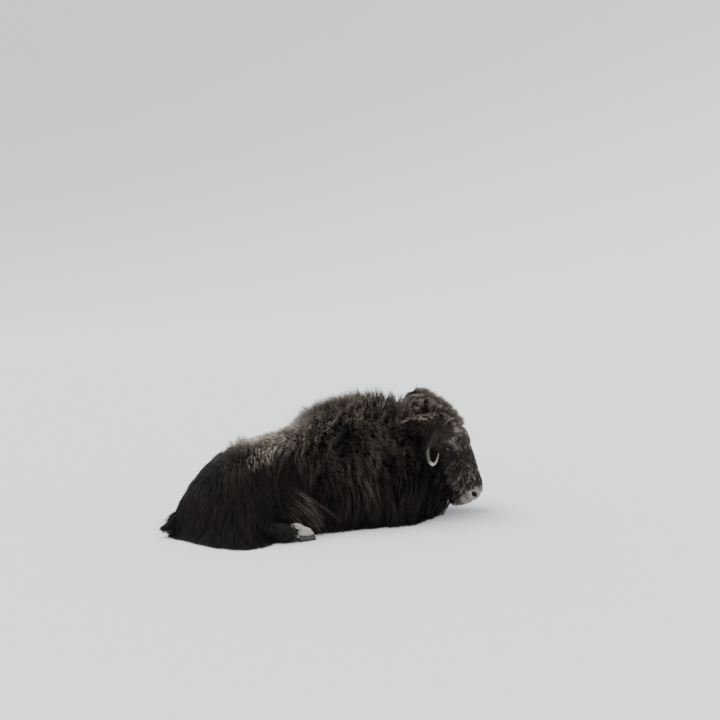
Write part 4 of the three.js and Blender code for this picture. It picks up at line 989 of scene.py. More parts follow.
def tuft_mesh(name, path, normal, marks, width, tones, home, rng):
    """Closed tufts: three corners at each mark but the last, and one point at the tip.

    Two corners lie across the tuft and one above it. Their distance is the width times a
    taper, which swells from the root and then falls by a power of the way along.
    """
    count, rings = path.shape[0], len(marks) - 1
    tangent = unit(np.gradient(path, axis=1))
    across = unit(np.cross(tangent, normal))
    out = np.cross(across, tangent)
    roll = rng.normal(0, TUFT["roll"], (count, 1, 1))
    across, out = across * np.cos(roll) + out * np.sin(roll), out * np.cos(roll) - across * np.sin(roll)
    swell = TUFT["root"] + (1 - TUFT["root"]) * ramp(marks, 0, TUFT["widest"])
    taper = swell * (1 - marks ** TUFT["taper"])
    half = (width[:, None] * taper[None, :rings] / 2)[..., None]
    line = path[:, :-1]
    above = out[:, :-1] * half * TUFT["thickness"]
    corners = np.stack([line + across[:, :-1] * half, line - across[:, :-1] * half, line + above], 2)
    points = np.concatenate([corners.reshape(count, -1, 3), path[:, -1:]], 1)
    floor = TUFT_FLOOR + TUFT_UNEVEN * hash_share(points[..., 0], points[..., 1], 5)
    points[..., 2] = np.maximum(points[..., 2], floor)
    a, b = np.arange(3), (np.arange(3) + 1) % 3
    faces = [np.array([[0, 2, 1]])]
    for k in range(rings - 1):
        low, high = 3 * k, 3 * (k + 1)
        faces.append(np.stack([low + a, low + b, high + b], -1))
        faces.append(np.stack([low + a, high + b, high + a], -1))
    last = 3 * (rings - 1)
    faces.append(np.stack([last + a, last + b, np.full(3, last + 3)], -1))
    one = np.concatenate(faces)
    faces = (one[None] + np.arange(count)[:, None, None] * points.shape[1]).reshape(-1, 3)
    piece = new_mesh(name, points.reshape(-1, 3), faces)
    share = np.append(np.repeat(marks[:rings], 3), 1.0)
    dark, tip = tones
    # Each tuft runs from its dark colour at the root to its tip colour: partly the hair's own colour, partly
    # painted shade deep in the coat.
    blend = share[None, :, None] ** TUFT["blend"]
    paint(piece, (dark[:, None] * (1 - blend) + tip[:, None] * blend).reshape(-1, 3))
    corner = np.append(np.tile([0.0, 1.0, 0.5], rings), 0.5)
    patch = np.stack([corner, share], -1) * BAKE_PATCH
    spots = (home[:, None] + patch[None]).reshape(-1, 2)
    layer = piece.data.uv_layers.new(name=BAKE_MAP)
    layer.data.foreach_set("uv", spots[faces.ravel()].astype(np.float32).ravel())
    piece.data.materials.append(coat_finish())
    return piece


def body_height(x, turn):
    """How high up the section a place is, from 0 at the floor to 1 on the back."""
    return np.sin(np.pi * turn) ** (0.55 + 0.45 * BOXINESS(x))


def body_lay(p, turn):
    """Which way the body's hair lies.

    It parts along the spine, leans back over the top and hangs down the sides. It sweeps
    forwards in the flank's curtain, and fans out below the top of each haunch.
    """
    x, y = p[..., 0], p[..., 1]
    height = body_height(x, turn)
    parting = 0.55 * np.clip((y - MIDLINE(x)) / 70, -1, 1)
    back = -0.16 - 0.85 * ramp(height, 0.72, 1.0) * ramp(x, 430, 120)
    sweep = about(x, FLANK_SWEEP) * ramp(height, 0.82, 0.45)
    drift = 0.30 * ripple(p, 210, 7) + 0.20 * ripple(p, 85, 8)
    sweep = sweep - 0.5 * ramp(x, 400, 540)
    side = np.stack([back + sweep + drift, parting + 0.22 * ripple(p, 160, 9), -np.ones_like(x)], -1)
    fan = (x + 575) / 150 * ramp(height, 1.02, 0.5) - 0.45 * ramp(height, 0.7, 1.0)
    fan = fan + 0.16 * ripple(p, 150, 11)
    haunch = np.stack([fan, parting, -np.ones_like(x)], -1)
    way = mix(unit(side), unit(haunch), ramp(x, -395, -455))
    return way + swirl(p, 52, 0.5) * woolly(x, height)[..., None]


def woolly(x, height):
    """How far the coat is wool: all of it over the hump and neck, none low on the sides."""
    return ramp(x, -300, -170) * ramp(height, 0.26 + 0.08 * np.sin(x / 45), 0.58)


# How each zone's tufts are drawn, in this order: a number is the same for all, a pair is a range.
# Spread is a share of the length that a place asks for, or in millimetres where it asks for none.
LOOKS = {
    "wool": {
        "spread": (0.6, 1.3), "rise": (0.7, 1.03), "power": 1.25, "pull": (0.3, 0.75),
        "curl": (4, 11), "turns": (0.7, 1.25), "width": (2.6, 4.6),
    },
    "side": {
        "spread": (0.65, 1.15), "rise": (0.6, 1.0), "power": 1.8, "pull": (0.4, 0.75),
        "curl": (2, 6.5), "turns": (0.7, 1.2), "width": (2.8, 4.8),
    },
    "haunch": {
        "spread": (0.7, 1.15), "rise": (0.68, 1.0), "power": 2.2, "pull": (0.3, 0.6),
        "curl": (0.8, 3.2), "turns": (0.4, 0.8), "width": (2.8, 4.6),
    },
    "saddle": {
        "spread": (0.6, 1.3), "rise": (0.75, 1.12), "crest": (0.3, 1), "power": 1.4, "pull": (0.4, 0.8),
        "curl": (2.5, 7), "turns": (0.6, 1.0), "width": (2.6, 4.4),
    },
    "curtain": {
        "spread": (130, 260), "rise": (1.0, 1.7), "power": 1.4, "pull": (0.5, 0.85),
        "curl": (2, 7), "turns": (0.6, 1.1), "width": (2.6, 4.4),
    },
    "poll": {
        "spread": (0.5, 1.3), "rise": (0.75, 1.1), "power": 1.2, "pull": (0.1, 0.5),
        "curl": (3, 8), "turns": (0.7, 1.2), "width": (2.4, 4.2),
    },
    "veil": {
        "spread": (62, 118), "rise": (0.8, 1.25), "power": 1.5, "pull": (0.45, 0.8),
        "curl": (2, 6), "turns": (0.6, 1.0), "width": (2.6, 4.4), "stand": (3, 14),
    },
    "face": {
        "spread": (0.7, 1.3), "rise": 0.3, "power": 1.5, "pull": (0.3, 0.8),
        "curl": (1.2, 4.4), "turns": (0.5, 0.95), "width": (1.7, 2.9), "stand": (0.4, 1.3),
    },
    "beard": {
        "spread": (0.65, 1.2), "rise": (0.6, 1.1), "power": 1.8, "pull": (0.4, 0.8),
        "curl": (2, 6), "turns": (0.6, 1.0), "width": (2.4, 4.0), "stand": (6, 20),
    },
}


def draw_hair(zone, count, rng):
    """Every tuft's own sizes, as its zone's look gives them."""
    return {
        size: np.full(count, span) if np.isscalar(span) else rng.uniform(*span, count)
        for size, span in LOOKS[zone].items()
    }


def body_hair(zone, x, turn, rng):
    """The trunk's tufts: their drawn sizes, with the length and rise that their places ask for.

    Wool is short on top of the hump and stands up behind it. Hair of the sides and haunches is
    longest low down. The saddle's stands in a loose crest on the spine.
    """
    height, hair = body_height(x, turn), draw_hair(zone, len(x), rng)
    length = 1
    if zone == "wool":
        behind = about(x, HUMP_REAR) * ramp(height, 0.74, 0.95)
        length = 66 - 30 * ramp(height, 0.7, 1.0) + 36 * behind
        hair["rise"] += 0.3 * about(x, NAPE) * ramp(height, 0.86, 0.98)
        hair["rise"] += 0.35 * behind
    elif zone == "side":
        length = 118 + 92 * ramp(height, 0.85, 0.35) + 45 * about(x, FLANK_HAIR)
        length = length * (1 - 0.62 * ramp(x, 400, 520))
    elif zone == "haunch":
        length = 135 + 90 * ramp(height, 0.9, 0.4)
        length = length * (1 - 0.35 * ramp(x, -780, -870))
    elif zone == "saddle":
        crest = about(x, SADDLE_TUFT) * ramp(np.sin(np.pi * turn), 0.93, 1.0)
        length = 62 - 20 * crest
        hair["rise"] += 0.75 * crest * hair["crest"]
    hair["length"] = length * hair["spread"]
    return hair


def saddle_share(x, height):
    """How far a place is in the saddle."""
    return about(x, SADDLE_WOOL) * ramp(height, 0.8, 0.95)


def curtain_lay(p, turn):
    """The curtain's loose locks sweep forwards as far as down, before the hind foot."""
    drift = 0.22 * ripple(p, 120, 12)
    way = np.stack([0.95 + drift, 0 * drift, -1 + 0 * drift], -1)
    return way + np.array([0, -0.3, 0]) * np.sign(0.5 - turn)[..., None]


# The trunk's zones: each one's lay, its marks, its share of the tufts, its locks' size, how far
# it takes the saddle's colour, and where it grows by the place along and the height.
BODY_ZONES = (
    ("wool", body_lay, WOOL_MARKS, 0.36, 25, 0.9, woolly),
    ("side", body_lay, LONG_MARKS, 0.23, 38, 0.12, lambda x, h: ramp(x, -430, -360) * (1.05 - woolly(x, h))),
    ("haunch", body_lay, SHORT_MARKS, 0.29, 34, 0.1,
     lambda x, h: ramp(x, -330, -420) * (1 - 0.75 * saddle_share(x, h))),
    ("saddle", body_lay, LONG_MARKS, 0.09, 24, 1.0, saddle_share),
    ("curtain", curtain_lay, LONG_MARKS, 0.024, 20, 0.0,
     lambda x, h: about(x, CURTAIN) * bell(h - 0.45, 0.17)),
)
BODY_BINS = {
    "rear": (-900, -640), "hip": (-640, -380), "flank": (-380, -60), "shoulder": (-60, 220),
    "neck": (220, 640),
}


# The fringe on the floor: the heights that it starts and is full at, and how far it runs on.
FRINGE = {"top": 90, "full": 20, "least": 6, "wave": 5, "most": 80, "power": 5}
# Shares of a horn's length that lie in its hook and under the veil, and the reach about them.
HOOK_SHARES, VEILED_SHARES = np.linspace(0.48, 1, 26), np.linspace(0.12, 0.52, 26)
HOOK_ROOM, VEIL_REACH = 20, 30
CAP_WIDTH = 5


def soft_cap(value, cap):
    """A value that levels off smoothly at a cap, by a logarithm of an exponential."""
    return value - CAP_WIDTH * np.logaddexp(0, (value - cap) / CAP_WIDTH)


def hold_in(path, rng=None):
    """Keeps hair within the reach that the frame's box allows, and floor hair near its outline.

    Past the outline, floor hair runs on by a share that falls away, further for some tufts
    than for others, so that the fringe is ragged. Without rng, it is left to run on.
    """
    held = path.copy()
    x = path[..., 0]
    if rng is not None:
        s = body_section(np.clip(x, BODY_BACK + 30, BODY_FRONT), 1.0)
        low = ramp(path[..., 2], FRINGE["top"], FRINGE["full"])
        run = FRINGE["least"] + FRINGE["wave"] * ripple(path[:, :1], 60, 13)
        run = run + FRINGE["most"] * rng.uniform(0, 1, (len(path), 1)) ** FRINGE["power"]
        right = s["middle"] - s["right"] - s["flare"]
        left = s["middle"] + s["left"] + s["flare"]
        for way, over in ((1, np.maximum(right - path[..., 1], 0)), (-1, np.maximum(path[..., 1] - left, 0))):
            held[..., 1] += way * low * (over - run * (1 - np.exp(-over / run)))
        behind = np.maximum(FLOOR_END - x, 0)
        held[..., 0] += behind - FLOOR_RUN * (1 - np.exp(-behind / FLOOR_RUN))
    held[..., 1] = soft_cap(held[..., 1], REACH[1][1])
    held[..., 1] = -soft_cap(-held[..., 1], -REACH[0][1])
    return held


def off_horns(path):
    """True for tufts that don't pass through a horn's hook: all their points keep clear of it."""
    clear = np.ones(len(path), bool)
    for side in SIDES.values():
        line = on_head(smooth_route(HORN_ROUTE, HOOK_SHARES), side)
        low, high = line.min(0) - HOOK_ROOM, line.max(0) + HOOK_ROOM
        near = np.flatnonzero(np.any(np.all((path > low) & (path < high), -1), 1))
        dense = np.concatenate([path[near], (path[near, 1:] + path[near, :-1]) / 2], 1)
        gaps = np.linalg.norm(dense[:, :, None] - line, axis=-1) - HORN_GIRTH(HOOK_SHARES)
        clear[near] = gaps.min((1, 2)) > HOOK_CLEARANCE
    return clear


def split_pieces(zone, bins, place, on_right, made, rng):
    """One mesh for each bin and side of a zone, without the tufts that pass through a hook."""
    path, normal, marks, width, dark, tip, home = made
    pieces, clear = [], off_horns(path)
    for label, (start, end) in bins.items():
        for side, on_side in (("right", on_right), ("left", ~on_right)):
            pick = (place >= start) & (place < end) & on_side & clear
            if pick.any():
                pieces.append(tuft_mesh(
                    f"coat_{zone}_{label}_{side}", path[pick], normal[pick], marks, width[pick],
                    (dark[pick], tip[pick]), home[pick], rng,
                ))
    return pieces


def body_coat(total, rng):
    """The trunk's tufts, zone by zone, in pieces by side and place."""
    pieces = []
    for zone, lay, marks, share, size, pale, where in BODY_ZONES:
        x, turn = sample_roots(
            BodySurface, int(total * share), lambda x, turn: where(x, body_height(x, turn)), rng
        )
        shown = ~HeadSurface.holds(BodySurface.at(x, turn, 0), 0.0)
        x, turn = x[shown], turn[shown]
        lock = lock_centres(BodySurface, x, turn, size)
        hair = body_hair(zone, x, turn, rng)
        hair["length"] *= 0.84 + 0.32 * lock[2]
        hair["rise"] *= 0.82 + 0.3 * lock_share(lock)
        path, normal = grow_paths(BodySurface, x, turn, lay, hair, lock, marks)
        path = add_waves(path, normal, marks, hair, lock[2], rng)
        path = hold_in(path, None if zone == "curtain" else rng)
        dark, tip = body_tones(BodySurface.at(x, turn, 0.6), turn, pale)
        tip = tip * (rng.uniform(0.5, 1.5, len(x)) * (0.6 + 0.8 * lock[2]))[:, None]
        if zone == "curtain":
            # Painted highlight: about a fifth of the curtain's tufts take a pale tip like the wool's.
            tip = np.where(rng.uniform(0, 1, (len(x), 1)) < 0.22, np.array(WOOL_TIP) * 0.8, tip)
        home = np.stack([(x - BODY_BACK) / (BODY_FRONT - BODY_BACK), turn], -1) * 0.99
        made = (path, normal, marks, hair["width"], dark, tip, home)
        pieces += split_pieces(zone, BODY_BINS, x, turn < 0.5, made, rng)
    return pieces


def swirl(p, size, amount):
    """Smooth random turns of the lay."""
    return amount * np.stack([ripple(p, size, 21), ripple(p, size, 22), ripple(p, size, 23)], -1)


# The poll's wool: places along the head, how deep under it the curls lie away from, and length.
POLL = {"middle": 108, "lay_from": 112, "depth": 70, "crest": 144, "edge": 160, "length": 36}


def poll_lay(p, turn):
    """The poll's wool grows away from a point inside it, and leans back a little."""
    away = unit(p - (HEAD_ORIGIN + HEAD_AXES[0] * POLL["lay_from"] - HEAD_AXES[2] * POLL["depth"]))
    return away + np.array([-0.3, 0, 0]) + swirl(p, 46, 1.1)


def face_lay(p, turn):
    """The face's hair runs down to the nose, and slants back over the cheeks."""
    t = (p - HEAD_ORIGIN) @ HEAD_AXES[0]
    dorsal = ramp(np.sin(2 * np.pi * turn), -0.2, 0.6)
    cheek = np.broadcast_to(np.array([-0.35, 0, -1.0]), p.shape)
    down = np.broadcast_to(HEAD_AXES[0] + np.array([0, 0, -0.2]), p.shape)
    lay = mix(cheek, down, np.clip(dorsal + ramp(t, 400, 470), 0, 1))
    return lay + swirl(p, 34, 0.75)


def hanging_lay(p, turn):
    """Long hair of the cheeks, jaw and throat hangs down and a little back."""
    return np.array([-0.26, 0, -1.0]) + swirl(p, 70, 0.28)


def bearded(t, z):
    """One where the head's hair is long: below a line from the eye to the corner of the mouth."""
    line = -122 - 0.10 * (t - EYE["t"]) + 30 * ramp(t, EYE["t"], 150)
    front = 446 + 0.9 * np.maximum(-z - 125, 0)
    return ramp(z, line + 6, line - 40) * ramp(t, front + 30, front - 30)


def poll_share(t, out):
    """One in the wool of the poll, whose edge runs behind the horn bases."""
    edge = POLL["edge"] - 46 * ramp(out, 12, 84)
    return ramp(t, edge + 6, edge - 10)


def head_hair(zone, t, turn, place, rng):
    """The head's tufts: their drawn sizes, fitted to their places. Stand is added to their rise.

    The poll's curls are shortest in their middle and stand highest at the forehead. The
    face's are shortest round the eyes, the horn bases and the nose. The beard is longest below.
    """
    hair = draw_hair(zone, len(t), rng)
    length = 1
    if zone == "poll":
        crown = ramp(np.hypot(t - POLL["middle"], place[..., 1]), 8, 74)
        length = POLL["length"] * (0.3 + 0.7 * crown)
        hair["stand"] = 4 + 16 * bell(t - POLL["crest"], 26)
    elif zone == "face":
        near_eye = bell(np.hypot(t - EYE["t"], place[..., 2] - EYE["rise"]), 34)
        length = 27 - 3 * ramp(t, 300, 430) - 12 * ramp(t, 455, 505)
        length = length * (1 - 0.55 * near_eye) * (1 - 0.55 * boss_share(place))
        hair["curl"] *= ramp(t, 520, 440)
        hair["stand"] *= 0.34 * length
    elif zone == "beard":
        length = 62 + 42 * ramp(-np.sin(2 * np.pi * turn), 0.2, 0.9) - 24 * ramp(t, 380, 460)
        hair["stand"] *= ramp(t, 120, 200)
    hair["length"] = length * hair["spread"]
    return hair


# The head's zones: each one's lay, marks, share and locks' size as on the trunk, and where it
# grows by the place along, out and up.
HEAD_ZONES = (
    ("poll", poll_lay, WOOL_MARKS, 0.37, 15, lambda t, out, z: poll_share(t, out)),
    ("veil", hanging_lay, LONG_MARKS, 0.07, 20,
     lambda t, out, z: ramp(t, 0, 40) * ramp(t, 128, 104) * bell(z + 96, 62) * ramp(out, 60, 90)),
    ("face", face_lay, SHORT_MARKS, 0.37, 13,
     lambda t, out, z: (1 - poll_share(t, out)) * (1 - 0.85 * bearded(t, z))),
    ("beard", hanging_lay, LONG_MARKS, 0.19, 22, lambda t, out, z: ramp(t, 60, 170) * bearded(t, z)),
)
HEAD_BINS = {"all": (-200, 700)}


def clear_of_face(p):
    """True where hair may grow: not on the eyes, in the nostrils, on the lips or the horn bases."""
    t, y, z = head_place(p)
    place = one_side(np.stack([t, y, z], -1))
    eye = np.hypot(t - EYE["t"], z - EYE["rise"]) > EYE["radius"] + 5
    brow = route_distance(place, side_route(BROW_ROUTE)) > 7
    nostril = nostril_share(t, z) > 1.5
    mouth = route_distance(place, side_route(MOUTH_ROUTE)) > 5
    horn = smooth_route(HORN_ROUTE[:6], np.linspace(0, 1, 12))
    boss = route_distance(place, horn) > 15
    nose = ~((t > 524) & (z > -84))
    return eye & brow & nostril & mouth & boss & nose


def clear_of_horns(path, marks):
    """Lifts hair out over the horns, down to the hooks.

    Seen from the side, what lies within a bell about a horn's line is raised past the horn's
    outer face. Roots stay where they are.
    """
    t, y, z = head_place(path)
    line, girth = smooth_route(HORN_ROUTE, VEILED_SHARES), HORN_GIRTH(VEILED_SHARES)
    gaps = np.hypot(t[..., None] - line[:, 0], z[..., None] - line[:, 2])
    nearest = np.argmin(gaps, -1)
    gap = np.take_along_axis(gaps, nearest[..., None], -1)[..., 0]
    wanted = (line[:, 1] + girth)[nearest] + HORN_CLEARANCE
    lift = np.maximum(wanted - np.abs(y), 0) * bell(gap, VEIL_REACH) * ramp(marks, 0, 0.3)[None]
    return path + HEAD_AXES[1] * (np.sign(y) * lift)[..., None]


def head_coat(total, rng):
    """The head's tufts: the poll's wool, the horns' veil, the face's short hair, and the beard.

    The veil is the dark hair behind each horn's base, which hangs over the horn to its hook.
    """
    pieces = []
    for zone, lay, marks, share, size, where in HEAD_ZONES:
        def density(t, turn):
            local = HeadSurface.local(t, turn, 0)
            shown = ~BodySurface.holds(on_head(local, 1), 0.25)
            return where(t, np.abs(local[..., 1]), local[..., 2]) * (0.12 + 0.88 * shown) + 1e-9

        t, turn = sample_roots(HeadSurface, int(total * share), density, rng)
        roots = HeadSurface.at(t, turn, 0)
        keep = clear_of_face(roots) & ~BodySurface.holds(roots, 0.0)
        t, turn, roots = t[keep], turn[keep], roots[keep]
        place = HeadSurface.local(t, turn, 0)
        lock = lock_centres(HeadSurface, t, turn, size)
        hair = head_hair(zone, t, turn, place, rng)
        hair["rise"] *= 0.88 + 0.2 * lock_share(lock)
        path, normal = grow_paths(HeadSurface, t, turn, lay, hair, lock, marks)
        stand = hair["stand"][:, None] * (1 - (1 - marks) ** 2)[None]
        path = path + normal * stand[..., None]
        path[:, 0] -= normal[:, 0] * 2
        if zone == "veil":
            path = clear_of_horns(path, marks)
        path = add_waves(path, normal, marks, hair, lock[2], rng)
        dark, tip, _ = head_tones(roots)
        if zone in ("veil", "beard"):
            tip = tip * 0.12 + np.array(GUARD_TIP) * 0.8
        elif zone == "face":
            tip = tip * (0.15 + 2.4 * lock[2] ** 2 * rng.uniform(0.5, 1.5, len(tip)))[:, None]
        tip = tip * (rng.uniform(0.5, 1.5, len(t)) * (0.7 + 0.6 * lock[2]))[:, None]
        home = np.stack([(t - HEAD_BACK) / (HEAD_FRONT - HEAD_BACK), turn + 0.25], -1) * 0.99
        made = (path, normal, marks, hair["width"], dark, tip, home)
        pieces += split_pieces(zone, HEAD_BINS, t, np.cos(2 * np.pi * turn) > 0, made, rng)
    return pieces


def new_finish(name):
    """A material, its nodes and links and its shader, or only the material if it is there already."""
    material = bpy.data.materials.get(name)
    if material:
        return material, None, None, None
    material = bpy.data.materials.new(name)
    material.use_nodes = True
    nodes, links = material.node_tree.nodes, material.node_tree.links
    shader = next(node for node in nodes if node.type == "BSDF_PRINCIPLED")
    return material, nodes, links, shader


def toned_finish(name, sockets, grain=None):
    """A finish in a piece's own colours, with plain values for some of its shader's sockets.

    Grain is the scale, strength and depth of a bump from noise on object coordinates.
    """
    material, nodes, links, shader = new_finish(name)
    if not nodes:
        return material
    tone = nodes.new("ShaderNodeVertexColor")
    tone.layer_name = TONE_LAYER
    links.new(tone.outputs["Color"], shader.inputs["Base Color"])
    for socket, value in sockets.items():
        shader.inputs[socket].default_value = value
    if grain:
        coordinates = nodes.new("ShaderNodeTexCoord")
        noise = nodes.new("ShaderNodeTexNoise")
        bump = nodes.new("ShaderNodeBump")
        noise.inputs["Scale"].default_value, noise.inputs["Detail"].default_value = grain[0], 4.0
        bump.inputs["Strength"].default_value, bump.inputs["Distance"].default_value = grain[1:]
        links.new(coordinates.outputs["Object"], noise.inputs["Vector"])
        links.new(noise.outputs["Fac"], bump.inputs["Height"])
        links.new(bump.outputs["Normal"], shader.inputs["Normal"])
    return material


def coat_finish():
    """Hair: each tuft's own colour, with a faint sheen."""
    return toned_finish("coat_hair", {
        "Roughness": 0.46, "Specular IOR Level": 0.17, "Sheen Weight": 0.02, "Sheen Roughness": 0.5,
    })


def skin_finish():
    """Skin with short hair lying flat: its own colours and a fine uneven grain."""
    return toned_finish("muskox_skin", {"Roughness": 0.62, "Specular IOR Level": 0.2}, (420, 0.45, 0.0016))


def horn_finish():
    """Keratin: half glossy, with a fine grain."""
    return toned_finish("horn_keratin", {"Roughness": 0.42, "Coat Weight": 0.12}, (260, 0.3, 0.001))


def hoof_finish():
    """Hoof horn: dull, with a coarser grain."""
    return toned_finish("hoof_horn", {"Roughness": 0.6}, (300, 0.4, 0.0012))


def eye_finish():
    """A wet eye: its iris and pupil under a clear coat."""
    return toned_finish("eye_wet", {
        "Roughness": 0.12, "Specular IOR Level": 0.3, "Coat Weight": 0.35, "Coat Roughness": 0.05,
    })


def ball_angles(stations, sides, gap):
    """The angles from a ball's front, open by a gap at either end, and round it, as a grid."""
    polar = np.linspace(gap, np.pi - gap, stations)
    return np.meshgrid(polar, np.linspace(0, 2 * np.pi, sides, endpoint=False), indexing="ij")


def build_eye(label, side):
    """An eyeball with a clear bulge in front.

    Rings are circles about the axis that looks out of the head. The radius grows by a bell
    round the axis for the cornea. The iris is a disc of angles, and the pupil a wide slot in it.
    """
    polar, turn = ball_angles(40, 48, 0.001)
    radius = EYE["radius"] + EYE["bulge"] * bell(polar, EYE["bulge_reach"])
    look = unit(np.array(EYE["look"]))
    level = unit(np.cross([0, 0, 1.0], look))
    up = np.cross(look, level)
    spot = (
        look * np.cos(polar)[..., None] + level * (np.sin(polar) * np.cos(turn))[..., None]
        + up * (np.sin(polar) * np.sin(turn))[..., None]
    )
    local = np.array([EYE["t"], EYE["out"], EYE["rise"]]) + spot * radius[..., None]
    piece = closed_loft(f"eye_{label}_ball", on_head(local, side))
    across, rise = np.sin(polar) * np.cos(turn), np.sin(polar) * np.sin(turn)
    slant = math.radians(EYE["tilt"])
    wide = across * math.cos(slant) + rise * math.sin(slant)
    tall = rise * math.cos(slant) - across * math.sin(slant)
    pupil = ramp((wide / EYE["pupil_width"]) ** 2 + (tall / EYE["pupil_height"]) ** 2, 1.3, 0.8)
    iris = ramp(polar, 0.86, 0.78)
    tone = mix(EYE_RIM, IRIS, iris)
    tone = mix(tone, PUPIL, np.where(polar < 1.2, pupil, 0))
    tones = np.concatenate([tone.reshape(-1, 3), tone[0, :1], tone[-1, :1]])
    paint(piece, tones)
    piece.data.materials.append(eye_finish())
    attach(piece, BODY)
    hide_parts(f"eye_{label}")


def build_horn(label, side):
    """A horn: round rings along its route, with shallow growth rings near the base.

    The half width follows the horn's girth, ribbed by a sine that dies out along it.
    """
    route = on_head(HORN_ROUTE, side)
    outward = on_head((0, 1, 0.35), side) - on_head((0, 0, 0), side)

    def ribs(s):
        coarse = 0.028 * np.sin(s * 95) * ramp(s, 0.62, 0.2)
        return 1 + coarse + 0.012 * np.sin(s * 210) * ramp(s, 0.5, 0)

    def width(s):
        return HORN_GIRTH(s) * ribs(s)

    def thickness(s):
        return HORN_GIRTH(s) * BOSS_FLATNESS(s) * ribs(s)

    stations, sides = 110, 32
    rings = rod_rings(route, stations, sides, width, thickness, outward)
    piece = closed_loft(f"horn_{label}_sheath", rings)
    s = np.append(np.repeat(np.linspace(0, 1, stations), sides), [0, 1])
    points = piece_points(piece)
    streak = 0.5 + 0.5 * ripple(points * np.array([1, 1, 0.35]), 9, 31)
    # Painted shade: from a fifth of the way along, the horn is darkened where the veil's hair hangs over it.
    tone = mix(HORN_BASE, HORN_HAIR_SHADE, ramp(s, 0.2, 0.45))
    # At the hook the horn turns lighter, and the pale band at its bottom is partly the horn's own pale
    # keratin and partly a painted highlight.
    tone = mix(tone, HORN_BEND, ramp(s, 0.66, 0.75))
    tone = mix(tone, HORN_PALE_AND_HIGHLIGHT, bell(s - 0.745, 0.055))
    tone = mix(tone, HORN_TIP, ramp(s, 0.93, 1.0))
    tone = tone * (0.78 + 0.3 * streak)[:, None]
    paint(piece, tone)
    piece.data.materials.append(horn_finish())
    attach(piece, BODY)
    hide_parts(f"horn_{label}")


def hoof_rings(back, side, facing):
    """One half of a cloven hoof: arches over the floor that narrow and drop to the toe."""
    s, turn = np.meshgrid(np.linspace(0, 1, 30), np.linspace(0, 1, 26), indexing="ij")
    width = HOOF["width"] / 2 * (1 - 0.45 * s**2.2) * (1 - 0.5 * ramp(s, 0.93, 1.03))
    height = HOOF["height"] * (1 - 0.62 * s**1.3) * (1 - 0.4 * ramp(s, 0.93, 1.03))
    ribs = 1 + 0.012 * np.sin(s * 60)
    x = back[0] + facing * HOOF["length"] * s
    y = back[1] + side * HOOF["spread"] * (1 - HOOF["toe_in"] * s) - np.cos(np.pi * turn) * width * ribs
    z = np.maximum(height * ribs * np.sin(np.pi * turn) ** 0.7, 0.4)
    return np.stack([x, y, z], -1)


def dewclaw_rings(back, side, facing):
    """A dewclaw: a small egg lying behind the hoof."""
    polar, turn = ball_angles(14, 16, 0.02)
    x = back[0] - facing * 22 + DEWCLAW["length"] / 2 * np.cos(polar)
    y = back[1] + side * DEWCLAW["spread"] + DEWCLAW["radius"] * np.sin(polar) * np.cos(turn)
    z = DEWCLAW["radius"] + 1 + DEWCLAW["radius"] * np.sin(polar) * np.sin(turn)
    return np.stack([x, y, z], -1)


def build_hooves(end, label, side):
    """A foot's two hooves and two dewclaws, each its own piece, with painted shade darkest where it meets the
    floor.
    """
    x, y, facing = HOOF_BACKS[end]
    back = (x, y) if side > 0 else (x + FAR_LEG_SHIFT[end], -y)
    inner = 1 if back[1] < 0 else -1
    for way in (1, -1):
        place = "inner" if way == inner else "outer"
        for kind, rings in (("hoof", hoof_rings), ("dewclaw", dewclaw_rings)):
            node = f"{kind}_{end}_{label}_{place}"
            piece = closed_loft(f"{node}_horn", rings(back, way, facing))
            p = piece_points(piece)
            # Painted shade: the lowest few millimetres of each hoof and dewclaw darken towards the floor.
            floor_shade = ramp(p[:, 2], 10, 3)
            tone = mix(HOOF_GREY, HOOF_FLOOR_SHADE, floor_shade)
            paint(piece, tone * (0.8 + 0.35 * (0.5 + 0.5 * ripple(p, 14, 41)))[:, None])
            piece.data.materials.append(hoof_finish())
            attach(piece, BODY)
            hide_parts(node)


def tuft_group(name, roots, normals, home, fall, length, width, tones, rng, flat):
    """Tufts on any skin, which leave between the fall and the normal and bend to the fall.

    Flat is the normal's share in the way that they leave.
    """
    marks = SHORT_MARKS
    s = marks[None, :, None]
    way = unit(fall * (1 - flat) + normals * flat)
    path = roots[:, None] + length[:, None, None] * s * (
        way[:, None] * (1 - 0.5 * s) + unit(fall)[:, None] * 0.5 * s
    )
    path = path - normals[:, None] * 1.5 * (s == 0)
    normal = np.broadcast_to(normals[:, None], path.shape)
    hair = {"curl": 0.05 * length, "turns": rng.uniform(0.4, 0.9, len(roots))}
    path = hold_in(add_waves(path, normal, marks, hair, rng.uniform(0, 1, len(roots)), rng))
    return tuft_mesh(name, path, normal, marks, width, tones, home, rng)


# How many tufts an ear has, and the share of them inside it.
EAR_TUFTS, EAR_INSIDE = 1800, 0.3


